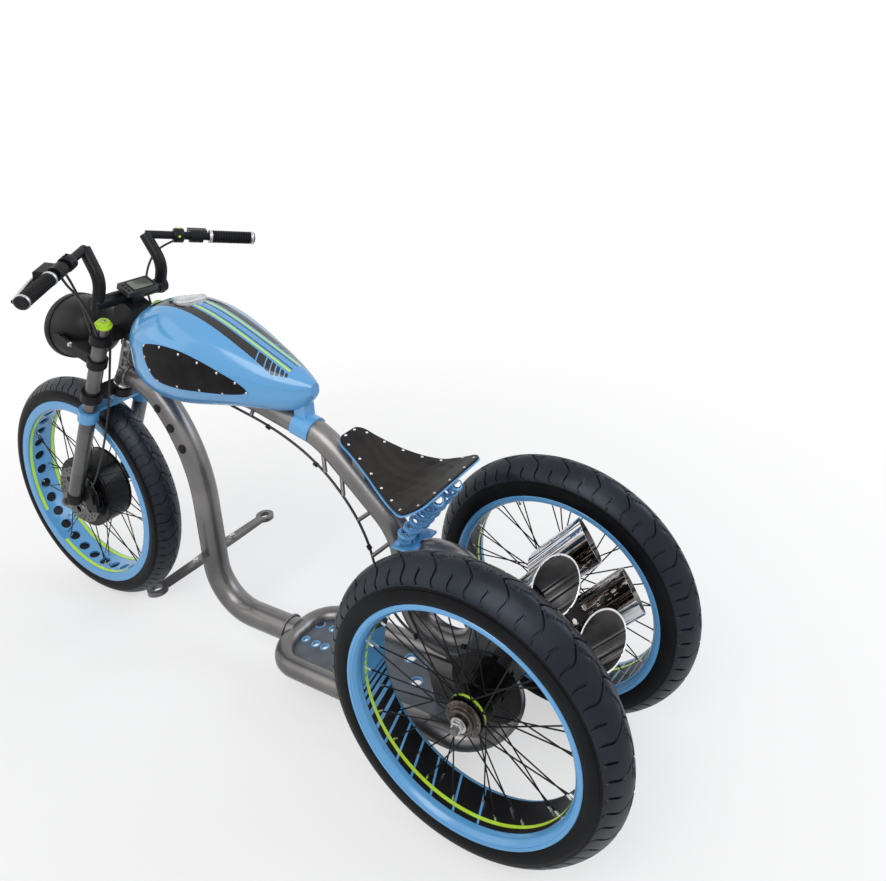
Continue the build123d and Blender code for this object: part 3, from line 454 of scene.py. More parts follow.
for (hand, hand_name), rim_turn in zip(SIDES, (0.0, RIGHT_WHEEL_TURN)):
    hub = rear_hubs[hand_name]
    body = "rear_wheel_" + hand_name
    rim = turned(REAR_RIM_OUTLINE, hub, (0.0, float(hand), 0.0), 144)
    finish(rim, "rear_rim_ring_" + hand_name, sky_blue, "blue_paint", body, 30.0)
    rim.data.materials.append(rim_black)
    for face in rim.data.polygons:
        from_hub = face.center - hub
        if abs(from_hub.y) < BARREL_HALF and math.hypot(from_hub.x, from_hub.z) < BARREL_RADIUS:
            face.material_index = 1
    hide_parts("rear_rim_" + hand_name)
    slashes = [band(hub, SLASH_RADIUS, -hand * SLASH_INNER, hand * SLASH_OUTER,
                    [angle + rim_turn for angle in inner], [angle + rim_turn for angle in outer], 16)
               for inner, outer in REAR_SLASHES]
    finish(merged(slashes), "rear_rim_slashes_" + hand_name, sky_blue, "blue_paint", body)
    finish(band(hub, LINE_RADIUS, hand * LINE_FROM, hand * LINE_TO, (0, 360)),
           "rear_rim_line_" + hand_name, lime, "lime_paint", body)
    valve = turned(VALVE_OUTLINE, hub + valve_out * VALVE_SEAT / 1000, -valve_out, 20)
    finish(valve, "rear_valve_" + hand_name, bright, "disc_steel", body)

# ---- front rim
# The front rim is a wider pressed section with a row of 34 lightening holes, a
# black tape behind them and two lime pinstripes, the outer one broken once.
FRONT_RIM_OUTLINE = (mirrored([(44, 289), (43.9, 281), (43.6, 272), (43.0, 267), (42, 264.8), (40, 264)])
                     + mirrored([(-42.5, 290), (-40.5, 289), (-39, 280), (-35, 279)]))
HOLE_COUNT, HOLE_RADIUS, HOLE_SIDE = 34, 0.0150, Vector((0, 0.007, 0))
HOLE_SEAT, DRILL_LENGTH = 0.263, 0.018
TAPE_RADIUS, FRONT_LINE_RADIUS = 271.2, 263.5
# each lime line: its sides across the barrel, then its angles
FRONT_LINES = ((29.5, 38.5, (-28, 308)), (-38.5, -29.5, (0, 360)))


def shaped(piece, kind, **settings):
    """Adds a modifier to a piece and applies it."""
    chosen(piece)
    modifier = piece.modifiers.new("shape", kind)
    for setting, value in settings.items():
        setattr(modifier, setting, value)
    bpy.ops.object.modifier_apply(modifier="shape")
    return piece


front_rim = turned(FRONT_RIM_OUTLINE, FRONT_HUB, (0.0, 1.0, 0.0), 180)
drills = []
for hole in range(HOLE_COUNT):
    angle = math.tau * hole / HOLE_COUNT
    out = Vector((math.cos(angle), 0.0, math.sin(angle)))
    bpy.ops.mesh.primitive_cylinder_add(vertices=32, radius=HOLE_RADIUS, depth=DRILL_LENGTH,
                                        location=FRONT_HUB + HOLE_SIDE + out * HOLE_SEAT,
                                        rotation=facing(out))
    drills.append(bpy.context.object)
drill = merged(drills)
shaped(front_rim, "BOOLEAN", object=drill, solver="EXACT")
bpy.data.objects.remove(drill)
finish(front_rim, "front_rim_ring", sky_blue, "blue_paint", "front_wheel", 30.0)
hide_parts("front_rim")
tape = band(FRONT_HUB, TAPE_RADIUS, -10, 24, (0, 360))
finish(tape, "front_rim_tape", rim_black, "black_paint", "front_wheel")
front_lines = [band(FRONT_HUB, FRONT_LINE_RADIUS, *line) for line in FRONT_LINES]
finish(merged(front_lines), "front_rim_lines", lime, "lime_paint", "front_wheel")

# ---- spoke nipples
# Each drawn steel spoke screws into a small plated brass nipple, which sits in
# the rim's bed and is turned to true the wheel.
NIPPLE_SPACING, NIPPLE_REACH, NIPPLE_SINK = 0.008, 0.007, 0.005
NIPPLE_SEAT, NIPPLE_HEAD, NIPPLE_LENGTH = 0.0034, 0.0022, 0.011
# how far from the axle the last of a spoke lies
REAR_SPOKE_END, FRONT_SPOKE_END = 0.2355, 0.2605
for hub_node, hub, body, reach in (
        ("rear_hub_left", rear_hubs["left"], "rear_wheel_left", REAR_SPOKE_END),
        ("rear_hub_right", rear_hubs["right"], "rear_wheel_right", REAR_SPOKE_END),
        ("hub_motor", FRONT_HUB, "front_wheel", FRONT_SPOKE_END)):
    points = [solids[hub_node].matrix_world @ vertex.co for vertex in solids[hub_node].data.vertices]
    ends = []
    for point in points:
        if math.hypot(point.x - hub.x, point.z - hub.z) > reach:
            if all((point - end).length > NIPPLE_SPACING for end in ends):
                ends.append(point)
    nipples = []
    for end in ends:
        inward = (Vector((hub.x, end.y, hub.z)) - end).normalized()
        near = [point for point in points if (point - end).length < NIPPLE_REACH]
        middle = sum(near, Vector()) / len(near)
        bpy.ops.object.select_all(action="DESELECT")
        bpy.ops.mesh.primitive_cone_add(vertices=12, radius1=NIPPLE_SEAT, radius2=NIPPLE_HEAD,
                                        depth=NIPPLE_LENGTH, location=middle + inward * NIPPLE_SINK,
                                        rotation=facing(inward))
        nipples.append(bpy.context.object)
    finish(merged(nipples), hub_node + "_nipples", bright, "disc_steel", body)

# ---- hubs and front disc
# Glossy black cast hubs; a thin ground steel disc, drilled and wavy at the edge,
# is bolted to the left of the front motor.
hub_black = mottled("hub_black", (0.003, 0.003, 0.0035), (0.007, 0.007, 0.008), 0.0, 0.26, 7.0, 0.05,
                    shine=0.18)
dress(hub_black, "hub_motor", "rear_hub_left", "rear_hub_right")
disc_steel = mottled("disc_steel", (0.09, 0.09, 0.09), (0.20, 0.20, 0.20), 0.9, 0.30, 30.0, 0.1)


def round_points(radius, count, turn=0.0, x=0.0, y=0.0):
    """Points evenly spaced round a circle."""
    angles = [math.tau * i / count + turn for i in range(count)]
    return [(x + radius * math.cos(angle), y + radius * math.sin(angle)) for angle in angles]


def ring_of(count, radius, hole_radius, turn=0.0):
    """Places of a ring of holes in a flat plate, with the holes' radius."""
    return [(x, y, hole_radius) for x, y in round_points(radius, count, turn)]


def wave(radius, depth, lobes, points=240):
    """A round edge that waves in and out."""
    reaches = [radius + depth * math.sin(lobes * math.tau * i / points) for i in range(points)]
    return [(x * reach, y * reach) for (x, y), reach in zip(round_points(1.0, points), reaches)]


def plate(edge, holes, thick, centre):
    """A flat plate across the axle: its edge outline and round holes, in millimetres."""
    curve = bpy.data.curves.new("plate", "CURVE")
    curve.dimensions = "2D"
    curve.fill_mode = "BOTH"
    curve.extrude = thick / 2000
    curve.bevel_depth = 0.0004
    for outline in [edge] + [round_points(radius, 20, 0.0, x, y) for x, y, radius in holes]:
        line = curve.splines.new("POLY")
        line.points.add(len(outline) - 1)
        for point, (x, y) in zip(line.points, outline):
            point.co = (x / 1000, y / 1000, 0.0, 1.0)
        line.use_cyclic_u = True
    piece = bpy.data.objects.new("plate", curve)
    bpy.context.scene.collection.objects.link(piece)
    chosen(piece)
    bpy.ops.object.convert(target="MESH")
    piece = bpy.context.object
    piece.rotation_euler = (math.radians(-90), 0.0, 0.0)
    piece.location = centre
    return piece


def fixings(name, seats, body, count=24, smooth=25.0):
    """Plated screws, nuts and studs as one piece; each is its outline, its place and its way out."""
    heads = [turned(outline, place, toward, count) for outline, place, toward in seats]
    finish(merged(heads), name, bright, "disc_steel", body, smooth)


LEFTWARD = Vector((0, 1, 0))
front_disc = plate(wave(88.4, 1.5, 12), ring_of(24, 80, 3.7) + ring_of(24, 70.5, 3.1, 0.13)
                   + ring_of(6, 55, 11, 0.2) + ring_of(6, 31, 5.5, 0.72) + [(0, 0, 20)], 2.2,
                   FRONT_HUB + LEFTWARD * 0.0535)
finish(front_disc, "front_brake_disc", disc_steel, "disc_steel", "front_wheel")
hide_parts("front_disc")
DISC_BOLT = [(0, 0.2), (0, 5.0), (3.4, 5.0), (4.2, 4.2), (4.2, 2.4), (2.6, 2.2), (2.6, 0.2)]
COVER_SCREW = [(0, 0.2), (0, 4.4), (3.0, 4.4), (3.8, 3.6), (3.8, 2.2), (2.4, 2.0), (2.4, 0.2)]
fixings("front_hub_bolts", [(outline, FRONT_HUB + Vector((x / 1000, side, z / 1000)), LEFTWARD)
                            for outline, side, ring in ((DISC_BOLT, 0.0545, round_points(38, 6, 0.2)),
                                                        (COVER_SCREW, 0.0335, round_points(98, 9, 0.1)))
                            for x, z in ring], "front_wheel", 18, 40.0)

# ---- sprocket
# A stepped brown-grey steel carrier with a ring of holes screws on the left hub;
# a lime anodised ring shows behind it.
sprocket_steel = mottled("sprocket_steel", (0.045, 0.036, 0.030), (0.15, 0.125, 0.105), 0.85, 0.34, 35.0,
                         0.1, 0.2)
CARRIER_STEPS = ([(24.5, 24.2), (24.5, 29.8), (31.0, 29.8), (31.6, 29.2), (31.6, 24.2)],
                 [(28, 10.2), (28, 26.0), (36.6, 26.4), (37.4, 25.6), (37.4, 21.8), (35.6, 21.2),
                  (35.6, 16.0), (40.6, 15.6), (41.0, 15.0), (41.0, 10.2)])
LIME_RING = [(8, 22), (8, 39.5), (10, 41.0), (13.6, 41.0), (14.6, 39.5), (14.6, 22)]
rings = [plate(wave(38.2, 0.4, 24), ring_of(18, 33.4, 2.0) + [(0, 0, 24)], 3.0,
               rear_hubs["left"] + LEFTWARD * 0.0262)]
rings += [turned(outline, rear_hubs["left"], LEFTWARD, 72) for outline in CARRIER_STEPS]
sprocket = finish(merged(rings), "sprocket_carrier", sprocket_steel, "sprocket", "rear_wheel_left")
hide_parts("freewheel_left")
lime_ring = turned(LIME_RING, rear_hubs["left"], LEFTWARD, 72)
finish(lime_ring, "hub_lime_ring", lime, "lime_paint", "rear_wheel_left")

# ---- rear axle and calipers
# The axle is bare steel, with a plated washer and a hexagon nut at each end;
# the three calipers are cast and painted satin black.
AXLE_END = 247
AXLE_WASHER = [(0, 8.3), (0, 16.2), (1.6, 16.8), (2.2, 16.8), (2.2, 8.3)]
AXLE_NUT = [(2.2, 8.3), (2.2, 12.0), (3.0, 12.9), (10.4, 12.9), (11.4, 11.8), (11.4, 8.3)]
nuts = [turned(outline, spot(0, hand * AXLE_END, REAR_RADIUS), LEFTWARD * hand, count)
        for hand, hand_name in SIDES for outline, count in ((AXLE_WASHER, 48), (AXLE_NUT, 6))]
finish(merged(nuts), "axle_nuts", bright, "disc_steel", "frame", 25.0)
satin_black = mottled("satin_black", (0.005, 0.005, 0.006), (0.010, 0.010, 0.012), 0.0, 0.38, 9.0, 0.06,
                      shine=0.2)
dress(satin_black, "rear_caliper_left", "rear_caliper_right", "front_caliper")
dress(bare_steel, "rear_axle")

# ---- tank
# A beaten steel teardrop tank in sky blue. Black flank bands run along its top,
# each edged by a lime line and a thin black one, and break into slashes behind.
tank_paint, tree, tank_shader = painted("tank_paint")
wire(tree, tank_shader, {"Roughness": 0.16, "Coat Weight": 0.3, "Coat Roughness": 0.04})


def sum_of(kind, *values):
    """One step of arithmetic in the tank's paint mask."""
    return step(tree, "Math", dict(enumerate(values)), operation=kind).outputs[0]


def between(value, low, high):
    """1 where the value lies between the two, else 0."""
    return sum_of("MULTIPLY", sum_of("GREATER_THAN", value, low), sum_of("LESS_THAN", value, high))


TANK_TOP = 838.0
BAND_INNER, BAND_OUTER, BAND_FRONT, BAND_BACK, BAND_TAIL = 25.0, 47.0, 987.0, 645.0, 555.0
LINE_BACK, LINE_FRONT, LIME_FROM, LIME_UP_TO, THIN_FROM, THIN_UP_TO = 562.0, 1010.0, 14.5, 19.5, 7.2, 10.2
SLASH_LEAN, SLASH_PIVOT, TAIL_TAPER, TAIL_WIDE = 0.36, 26.0, 0.45, 30.0
TANK_SLASHES = [(621.5, 642.0), (606.5, 618.5), (594.0, 603.5), (582.5, 590.5), (571.0, 579.0),
                (561.0, 567.5)]
tank_place = step(tree, "TexCoord")
axes = step(tree, "SeparateXYZ", {0: tank_place.outputs["Object"]})
# millimetres ahead of the rear axle, off the middle line and above the ground
ahead = sum_of("MULTIPLY_ADD", axes.outputs["X"], 1000.0, -REAR_AXLE_X * 1000.0)
off = sum_of("MULTIPLY", sum_of("ABSOLUTE", axes.outputs["Y"]), 1000.0)
up = sum_of("MULTIPLY", axes.outputs["Z"], 1000.0)
top_side = sum_of("GREATER_THAN", up, TANK_TOP)
# the slashes lean: their x falls towards the outer edge by about 7 mm
leaning = sum_of("ADD", ahead, sum_of("MULTIPLY", sum_of("SUBTRACT", off, SLASH_PIVOT), SLASH_LEAN))
solid_band = sum_of("GREATER_THAN", leaning, BAND_BACK)
for slash_from, slash_to in TANK_SLASHES:
    solid_band = sum_of("MAXIMUM", solid_band, between(leaning, slash_from, slash_to))
# the band draws in towards the tail
outer_edge = sum_of("MINIMUM", BAND_OUTER,
                    sum_of("MULTIPLY_ADD", sum_of("SUBTRACT", ahead, BAND_TAIL), TAIL_TAPER, TAIL_WIDE))
flank_band = sum_of("MULTIPLY", sum_of("MULTIPLY", solid_band, sum_of("GREATER_THAN", off, BAND_INNER)),
                    sum_of("MULTIPLY", sum_of("LESS_THAN", off, outer_edge),
                           sum_of("LESS_THAN", ahead, BAND_FRONT)))
long_line = between(ahead, LINE_BACK, LINE_FRONT)
lime_line = sum_of("MULTIPLY", between(off, LIME_FROM, LIME_UP_TO), long_line)
thin_line = sum_of("MULTIPLY", between(off, THIN_FROM, THIN_UP_TO), long_line)
black_mask = sum_of("MULTIPLY", sum_of("MAXIMUM", flank_band, thin_line), top_side)
lime_mask = sum_of("MULTIPLY", lime_line, top_side)
cloud = step(tree, "TexNoise", {"Scale": 3.0, "Vector": tank_place.outputs["Object"]})
coat_of_paint = step(tree, "ValToRGB", {"Fac": cloud.outputs["Fac"]})
for stop, colour in zip(coat_of_paint.color_ramp.elements, ((0.095, 0.330, 0.640), (0.112, 0.365, 0.690))):
    stop.color = (*colour, 1.0)
colour = coat_of_paint.outputs["Color"]
for mask, stripe in ((black_mask, (0.004, 0.004, 0.005, 1.0)), (lime_mask, (0.52, 0.80, 0.03, 1.0))):
    over = step(tree, "Mix", data_type="RGBA")
    wire(tree, over, {"B": stripe, "Factor": mask, "A": colour})
    colour = over.outputs["Result"]
wire(tree, tank_shader, {"Base Color": colour})
dress(tank_paint, "tank")
dress(sky_blue, "tank_tail_tab", "fork_brace")

# ---- filler cap
# A turned and satin-plated screw cap with a rolled edge and a shallow dish,
# which screws into the neck on the tank's top.
CAP_OUTLINE = [(-12, 0.2), (-12, 37.0), (-3.5, 37.6), (-3.0, 39.2), (-1.0, 39.6), (0.2, 38.6), (0.6, 36.5),
               (-0.6, 34.8), (-1.2, 33.6), (-0.4, 31.8), (1.4, 29.5), (2.2, 20.0), (2.4, 0.2)]
cap_alloy = mottled("cap_alloy", (0.56, 0.57, 0.58), (0.72, 0.73, 0.74), 0.75, 0.27, 14.0, 0.05)
cap = finish(turned(CAP_OUTLINE, spot(889, 0, 1001), (0.06, 0.0, 0.998)), "filler_cap", cap_alloy,
             "cast_grey", "frame", 30.0)
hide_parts("tank_cap")

# ---- tank side panels
# Thin black leather glued to each side of the tank and pinned round its edge
# with domed rivets; its edge is skived thin.
dark_leather = mottled("dark_leather", (0.0045, 0.0040, 0.0045), (0.0115, 0.0100, 0.0105), 0.0, 0.55, 30.0,
                       0.75, 0.0, 0.10, 0.12)
# x, z of the panel's rivets, in order round its edge
PANEL_RIVETS = [(929, 912), (872, 916), (814, 905), (763, 889), (714, 868), (671, 846), (647, 822),
                (709, 817), (770, 820), (833, 823), (895, 829), (918, 853), (930, 884)]
PANEL_EDGE, PANEL_THICK, SKIVED_THIN = 9.0, 1.8, 0.25
PANEL_MIDDLE = numpy.array([815.0, 865.0])
BESIDE_TANK = 220


def struck(node, start, toward):
    """Where a line from start strikes a solid, and which way that spot faces."""
    solid = solids[node]
    turn = solid.matrix_world.inverted()
    hit, place, normal, face = solid.ray_cast(turn @ start, (turn.to_3x3() @ toward).normalized())
    if not hit:
        return None, None
    return solid.matrix_world @ place, (solid.matrix_world.to_3x3() @ normal).normalized()


def rivet(place, normal, radius=3.1):
    """A domed rivet head sitting on a surface."""
    high = radius * 0.55
    return turned([(-0.6, 0.2), (-0.6, radius), (high * 0.25, radius), (high * 0.75, radius * 0.74),
                   (high, radius * 0.32), (high, 0.2)], place, normal, 16)


outline = numpy.array(PANEL_RIVETS, float)
outward = outline - PANEL_MIDDLE
outline = outline + PANEL_EDGE * outward / numpy.linalg.norm(outward, axis=1)[:, None]
for rounding in range(3):
    following = numpy.roll(outline, -1, axis=0)
    outline = numpy.stack((0.75 * outline + 0.25 * following, 0.25 * outline + 0.75 * following), 1)
    outline = outline.reshape(-1, 2)
rivets = []
for hand, hand_name in SIDES:
    inward = Vector((0, -hand, 0))
    panel = laid(len(outline), 20, lambda along, across: Vector((along, across, 0.0)))
    for vertex in panel.data.vertices:
        corner = outline[int(round(vertex.co.x * len(outline))) % len(outline)]
        x, z = PANEL_MIDDLE + (corner - PANEL_MIDDLE) * max(vertex.co.y, 0.02)
        place, normal = struck("tank", spot(x, hand * BESIDE_TANK, z), inward)
        lift = PANEL_THICK * (1.0 if vertex.co.y < 0.97 else SKIVED_THIN)
        vertex.co = place + normal * lift / 1000
    sealed(0.0001, sides=0)
    finish(panel, "tank_leather_" + hand_name, dark_leather, "leather", "frame", 60.0)
    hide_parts("tank_panel_" + hand_name)
    for x, z in PANEL_RIVETS:
        place, normal = struck("tank", spot(x, hand * BESIDE_TANK, z), inward)
        rivets.append(rivet(place + normal * PANEL_THICK / 1000, normal))
finish(merged(rivets), "tank_panel_rivets", bright, "disc_steel", "frame")

# ---- seat pan and cover
# A pressed steel pan in sky blue with a rolled edge, under thick dark leather
# wet-moulded to it; the leather is thin and unpadded, and creased in the dish.
SEAT_LINE = [(424, 732), (396, 717), (357, 697), (317, 677), (278, 661), (239, 651), (193, 655), (148, 674)]
SEAT_WIDTHS = [(424, 42), (400, 44), (380, 48), (357, 55), (317, 69), (278, 87), (239, 106), (196, 132),
               (176, 138), (148, 138)]
SEAT_BACK, SEAT_NOSE = 146.0, 426.0
BACK_ROUND, NOSE_ROUND = 40.0, 26.0
RIM_WIDTH, CREASE_EDGE = 5.0, 22.0
seat_x = numpy.linspace(SEAT_BACK, SEAT_NOSE, 281)
seat_heights, seat_halves = (blurred(numpy.interp(seat_x, *numpy.array(sorted(knots), float).T), 45)
                             for knots in (SEAT_LINE, SEAT_WIDTHS))


def crease(x, y):
    """How far the moulded leather puckers up or down, in millimetres."""
    along = math.sin(0.16 * y + 2.4 * math.sin(0.034 * x + 0.6) + 1.3 * math.sin(0.051 * y + 0.02 * x))
    across = math.sin(0.23 * x + 2.1 * math.sin(0.047 * y + 1.0) + 0.9 * math.sin(0.09 * x - 0.05 * y))
    return 0.38 * along + 0.30 * across


def seat_skin(inset, lift, fall, creased):
    """The seat's surface, inset from the pan's edge, lifted over it and falling at its rim."""
    back, nose = SEAT_BACK + inset, SEAT_NOSE - inset

    def place(along, across):
        x = back + (SEAT_NOSE - SEAT_BACK - 2 * inset) * (0.5 - 0.5 * math.cos(math.pi * along))
        z = float(numpy.interp(x, seat_x, seat_heights))
        half = float(numpy.interp(x, seat_x, seat_halves)) - inset
        for gap, rounding in ((x - SEAT_BACK - inset, BACK_ROUND), (nose - x, NOSE_ROUND)):
            if gap < rounding:
                half -= rounding - math.sqrt(max(0.0, rounding ** 2 - (rounding - gap) ** 2))
        side = math.sin((across * 2 - 1) * math.pi / 2)
        rim_gap = min(half * (1 - abs(side)), x - SEAT_BACK - inset, nose - x)
        rim = max(0.0, 1.0 - rim_gap / RIM_WIDTH) ** 2
        pucker = crease(x, half * side) * min(1.0, rim_gap / CREASE_EDGE) if creased else 0.0
        return spot(x, half * side, z + lift + pucker - fall * rim)
    return laid(120, 64, place)


def thickened(piece, thickness):
    """Gives a skin its thickness, downwards."""
    sealed(0.00002, outward=False)
    return shaped(piece, "SOLIDIFY", thickness=thickness / 1000, offset=-1.0)


seat_leather = mottled("seat_leather", (0.0050, 0.0040, 0.0038), (0.0240, 0.0170, 0.0125), 0.0, 0.46, 8.0,
                       0.9, 0.0, 0.10, 0.18)
seat_cover = finish(thickened(seat_skin(1.6, 8.2, 2.6, True), 5.4), "seat_leather_cover", seat_leather,
                    "leather", "frame", 50.0)
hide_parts("seat_cover")
seat_base = finish(thickened(seat_skin(0.6, 2.6, -0.4, False), 3.8), "seat_steel_pan", sky_blue,
                   "blue_paint", "frame", 50.0)
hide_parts("seat_pan")
# domed rivets hold the leather close inside its edge; x, y of one side
SEAT_RIVETS = [(396, 32), (357, 44), (317, 58), (278, 75), (239, 93), (198, 119), (417, 15), (160, 108),
               (154, 58), (154, 0)]
ABOVE_SEAT = 900
heads = []
bpy.context.view_layer.update()
for x, y in SEAT_RIVETS:
    for hand in ((1, -1) if y else (1,)):
        hit, place, normal, face = seat_cover.ray_cast(spot(x, hand * y, ABOVE_SEAT), Vector((0, 0, -1)))
        if hit:
            heads.append(rivet(place, normal, 3.4))
finish(merged(heads), "seat_rivets", bright, "disc_steel", "frame")

# ---- seat springs
# Two coil springs of 8 mm wire, powder-coated blue, stand on the bracket with a
# bolt and washers through each foot.
SPRING_SIDE, SPRING_FOOT, SPRING_HEAD = 36, (264, 529), (164, 651)
SPRING_TURNS, COIL_RADIUS, WIRE_RADIUS, SPRING_END = 6.5, 0.0152, 0.0047, 0.005
FOOT_BOLT = [(-20, 0.2), (-20, 4.2), (-3, 4.2), (-3, 11.5), (-1, 12), (0.5, 12), (1.0, 11.4), (1.2, 6.8),
             (9, 6.8), (10, 5.8), (10, 0.2)]
HEAD_BOLT = [(-10, 0.2), (-10, 6.4), (-4, 7.0), (-1.5, 10.5), (0, 10.8), (2, 10.8), (2, 0.2)]
spring_length = math.dist(SPRING_HEAD, SPRING_FOOT) / 1000
for hand, hand_name in SIDES:
    foot, head = (spot(x, hand * SPRING_SIDE, z) for x, z in (SPRING_FOOT, SPRING_HEAD))
    line = (head - foot).normalized()
    beside = line.cross(LEFTWARD)

    def coil(along, around):
        turns, wire_angle = along * SPRING_TURNS * math.tau, around * math.tau
        share = min(1.0, max(0.0, (along * SPRING_TURNS - 0.5) / (SPRING_TURNS - 1.0)))
        centre = foot + line * (SPRING_END + (spring_length - 2 * SPRING_END) * share)
        out = LEFTWARD * math.cos(turns) + beside * math.sin(turns)
        return (centre + out * (COIL_RADIUS + WIRE_RADIUS * math.cos(wire_angle))
                + line * (WIRE_RADIUS * math.sin(wire_angle)))
    spring = laid(260, 12, coil)
    sealed(0.00003, sides=20)
    finish(spring, "seat_coil_" + hand_name, sky_blue, "blue_paint", "frame")
    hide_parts("seat_spring_" + hand_name)
    fixings("seat_spring_bolt_" + hand_name, [(FOOT_BOLT, foot, line), (HEAD_BOLT, head, line)], "frame",
            smooth=40.0)
dress(sky_blue, "seat_bracket")

# ---- fork
# Brown-grey steel legs in clamped black crowns, with lime top caps and a blue
# brace over the tyre; the sliders end in drilled flat dropouts.
RAKE = math.radians(27.3)
FORK_TOP = spot(1160, 0, 830)
FORK_FORWARD = Vector((math.cos(RAKE), 0.0, math.sin(RAKE)))
FORK_UP = Vector((-math.sin(RAKE), 0.0, math.cos(RAKE)))
LEG_SIDE, LEG_FORWARD = 83.0, 15
DUST_SEAL = [(-9, 19.2), (-9, 22.2), (-7.5, 23.4), (4, 23.4), (6, 22.0), (8, 20.4), (8, 19.2)]
SEAL_HEIGHT = -215
LEG_FOOT = [(-548, 0.2), (-548, 19.0), (-545, 21.6), (-512, 22.4), (-509, 21.4), (-508, 20.0), (-530, 19.0),
            (-530, 0.2)]
# how far up the leg each crown's clamp begins and ends, and its bolts' shares of that
CLAMPS, BOLT_SHARES = ((48, 72), (-149, -123)), (0.27, 0.73)
CLAMP_BOLT = [(-8, 0.2), (-8, 3.9), (0, 3.9), (0, 4.8), (4.4, 4.8), (5.0, 4.2), (5.0, 2.6), (3.0, 2.4),
              (3.0, 0.2)]
TOP_CAP = [(98, 0.2), (98, 20.4), (99, 21.2), (104, 21.2), (105, 20.4), (105, 16.5), (107, 15.8),
           (112.5, 15.8), (114, 14.6), (114, 7), (112.5, 6.2), (112.5, 0.2)]
CAP_SCREW = [(112.2, 0.2), (112.2, 4.6), (116.4, 4.6), (117.0, 4.0), (117.0, 0.2)]
BOLT_AHEAD, BOLT_INWARD = 22, 13


def fork(forward, side, up_along):
    """A place on the fork, in millimetres ahead of its steering line, to the left and up along it."""
    return FORK_TOP + (FORK_FORWARD * forward + Vector((0, side, 0)) + FORK_UP * up_along) / 1000


fork_steel = mottled("fork_steel", (0.105, 0.100, 0.099), (0.190, 0.182, 0.178), 0.82, 0.30, 9.0, 0.05, 0.4)
dress(fork_steel, "fork_leg_left", "fork_leg_right", "front_axle")
dress(satin_black, "upper_crown", "lower_crown", "bar_yoke", "headlight_bracket_left",
      "headlight_bracket_right")
seals, clamps, clamp_bolts, caps = [], [], [], []
for hand, hand_name in SIDES:
    side = hand * LEG_SIDE
    leg = fork(LEG_FORWARD, side, 0)
    seals.append(turned(DUST_SEAL, fork(LEG_FORWARD, side, SEAL_HEIGHT), FORK_UP, 48))
    seals.append(turned(LEG_FOOT, leg, FORK_UP, 48))
    for low, high in CLAMPS:
        clamps.append(turned([(low - 1.2, 19.4), (low - 1.2, 26.0), (low + 0.6, 27.4), (high - 0.6, 27.4),
                              (high + 1.2, 26.0), (high + 1.2, 19.4)], leg, FORK_UP, 48))
        for share in BOLT_SHARES:
            place = fork(LEG_FORWARD + BOLT_AHEAD, side - hand * BOLT_INWARD, low + (high - low) * share)
            clamp_bolts.append(turned(CLAMP_BOLT, place, LEFTWARD * hand, 18))
    caps.append(turned(TOP_CAP, leg, FORK_UP, 48))
    clamp_bolts.append(turned(CAP_SCREW, leg, FORK_UP, 6))
finish(merged(seals), "fork_dust_seals", soft_rubber, "rubber", "steering")
finish(merged(clamps), "fork_clamps", satin_black, "black_paint", "steering")
finish(merged(clamp_bolts), "fork_clamp_bolts", bright, "disc_steel", "steering", 25.0)
top_caps = finish(merged(caps), "fork_top_caps", lime, "lime_paint", "steering")
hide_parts("fork_cap_left", "fork_cap_right")

# ---- steering head
# Turned and plated steel cups are pressed into both ends of the head tube and
# hold the bearings, each under a dust ring.
UPPER_CUP = [(36, 15), (36, 25.2), (37, 26.2), (43, 26.2), (46, 24), (47, 15)]
LOWER_CUP = [(-122, 15), (-121, 25), (-118, 27), (-112, 27), (-110.5, 25.6), (-110.5, 15)]
fixings("head_cups", [(UPPER_CUP, FORK_TOP, FORK_UP), (LOWER_CUP, FORK_TOP, FORK_UP)], "frame", 64, 40.0)

# ---- headlight
# A spun black bullet shell with a proud bezel ring and a fluted clear lens, hung
# by bolts between two plates on the fork legs.
LAMP, FORWARD = spot(1235, 0, 870), Vector((1, 0, 0))
BEZEL_OUTLINE = [(128, 88.6), (128, 90.4), (130, 91.4), (147, 91.4), (151, 89.6), (152.5, 86.0), (151, 82.5),
                 (147, 82.0), (147, 88.6)]
SHELL_OUTLINE = [(0.2, 0.2), (1.2, 12), (4.5, 23), (10, 35.5), (18, 48.5), (29, 60.5), (42, 70.3), (60, 78.3),
                 (80, 84.0), (100, 87.0), (120, 88.3), (129, 88.6), (129, 80), (60, 70), (20, 40), (8, 0.2)]
LAMP_BOLT_PLACES, BESIDE_LAMP = ((1262, 862), (1196, 900)), 200
LAMP_BOLT = [(-2, 0.2), (-2, 6.6), (1.2, 6.6), (1.2, 5.0), (5.4, 5.0), (6.2, 4.2), (6.2, 0.2)]
finish(turned(BEZEL_OUTLINE, LAMP, FORWARD, 128), "headlight_bezel", satin_black, "black_paint", "steering",
       50.0)
lens_glass, tree, clear = painted("lens_glass")
flute_place = step(tree, "TexCoord")
flutes = step(tree, "TexWave", {"Scale": 34.0, "Vector": flute_place.outputs["Object"]}, bands_direction="Y")
flute_bump = step(tree, "Bump", {"Strength": 0.35, "Distance": 0.002, "Height": flutes.outputs["Fac"]})
wire(tree, clear, {"Base Color": (0.86, 0.90, 0.93, 1.0), "Roughness": 0.06, "Transmission Weight": 0.85,
                   "IOR": 1.45, "Normal": flute_bump.outputs["Normal"]})
dress(lens_glass, "headlight_lens")
lamp_bolts = []
for hand, hand_name in SIDES:
    for x, z in LAMP_BOLT_PLACES:
        for node in ("headlight_bracket_" + hand_name, "headlight_shell"):
            place, normal = struck(node, spot(x, hand * BESIDE_LAMP, z), Vector((0, -hand, 0)))
            if place:
                lamp_bolts.append((LAMP_BOLT, place, normal))
                break
fixings("headlight_bolts", lamp_bolts, "steering")
shell = finish(turned(SHELL_OUTLINE, LAMP, FORWARD, 128), "headlight_bullet", satin_black, "black_paint",
               "steering", 50.0)
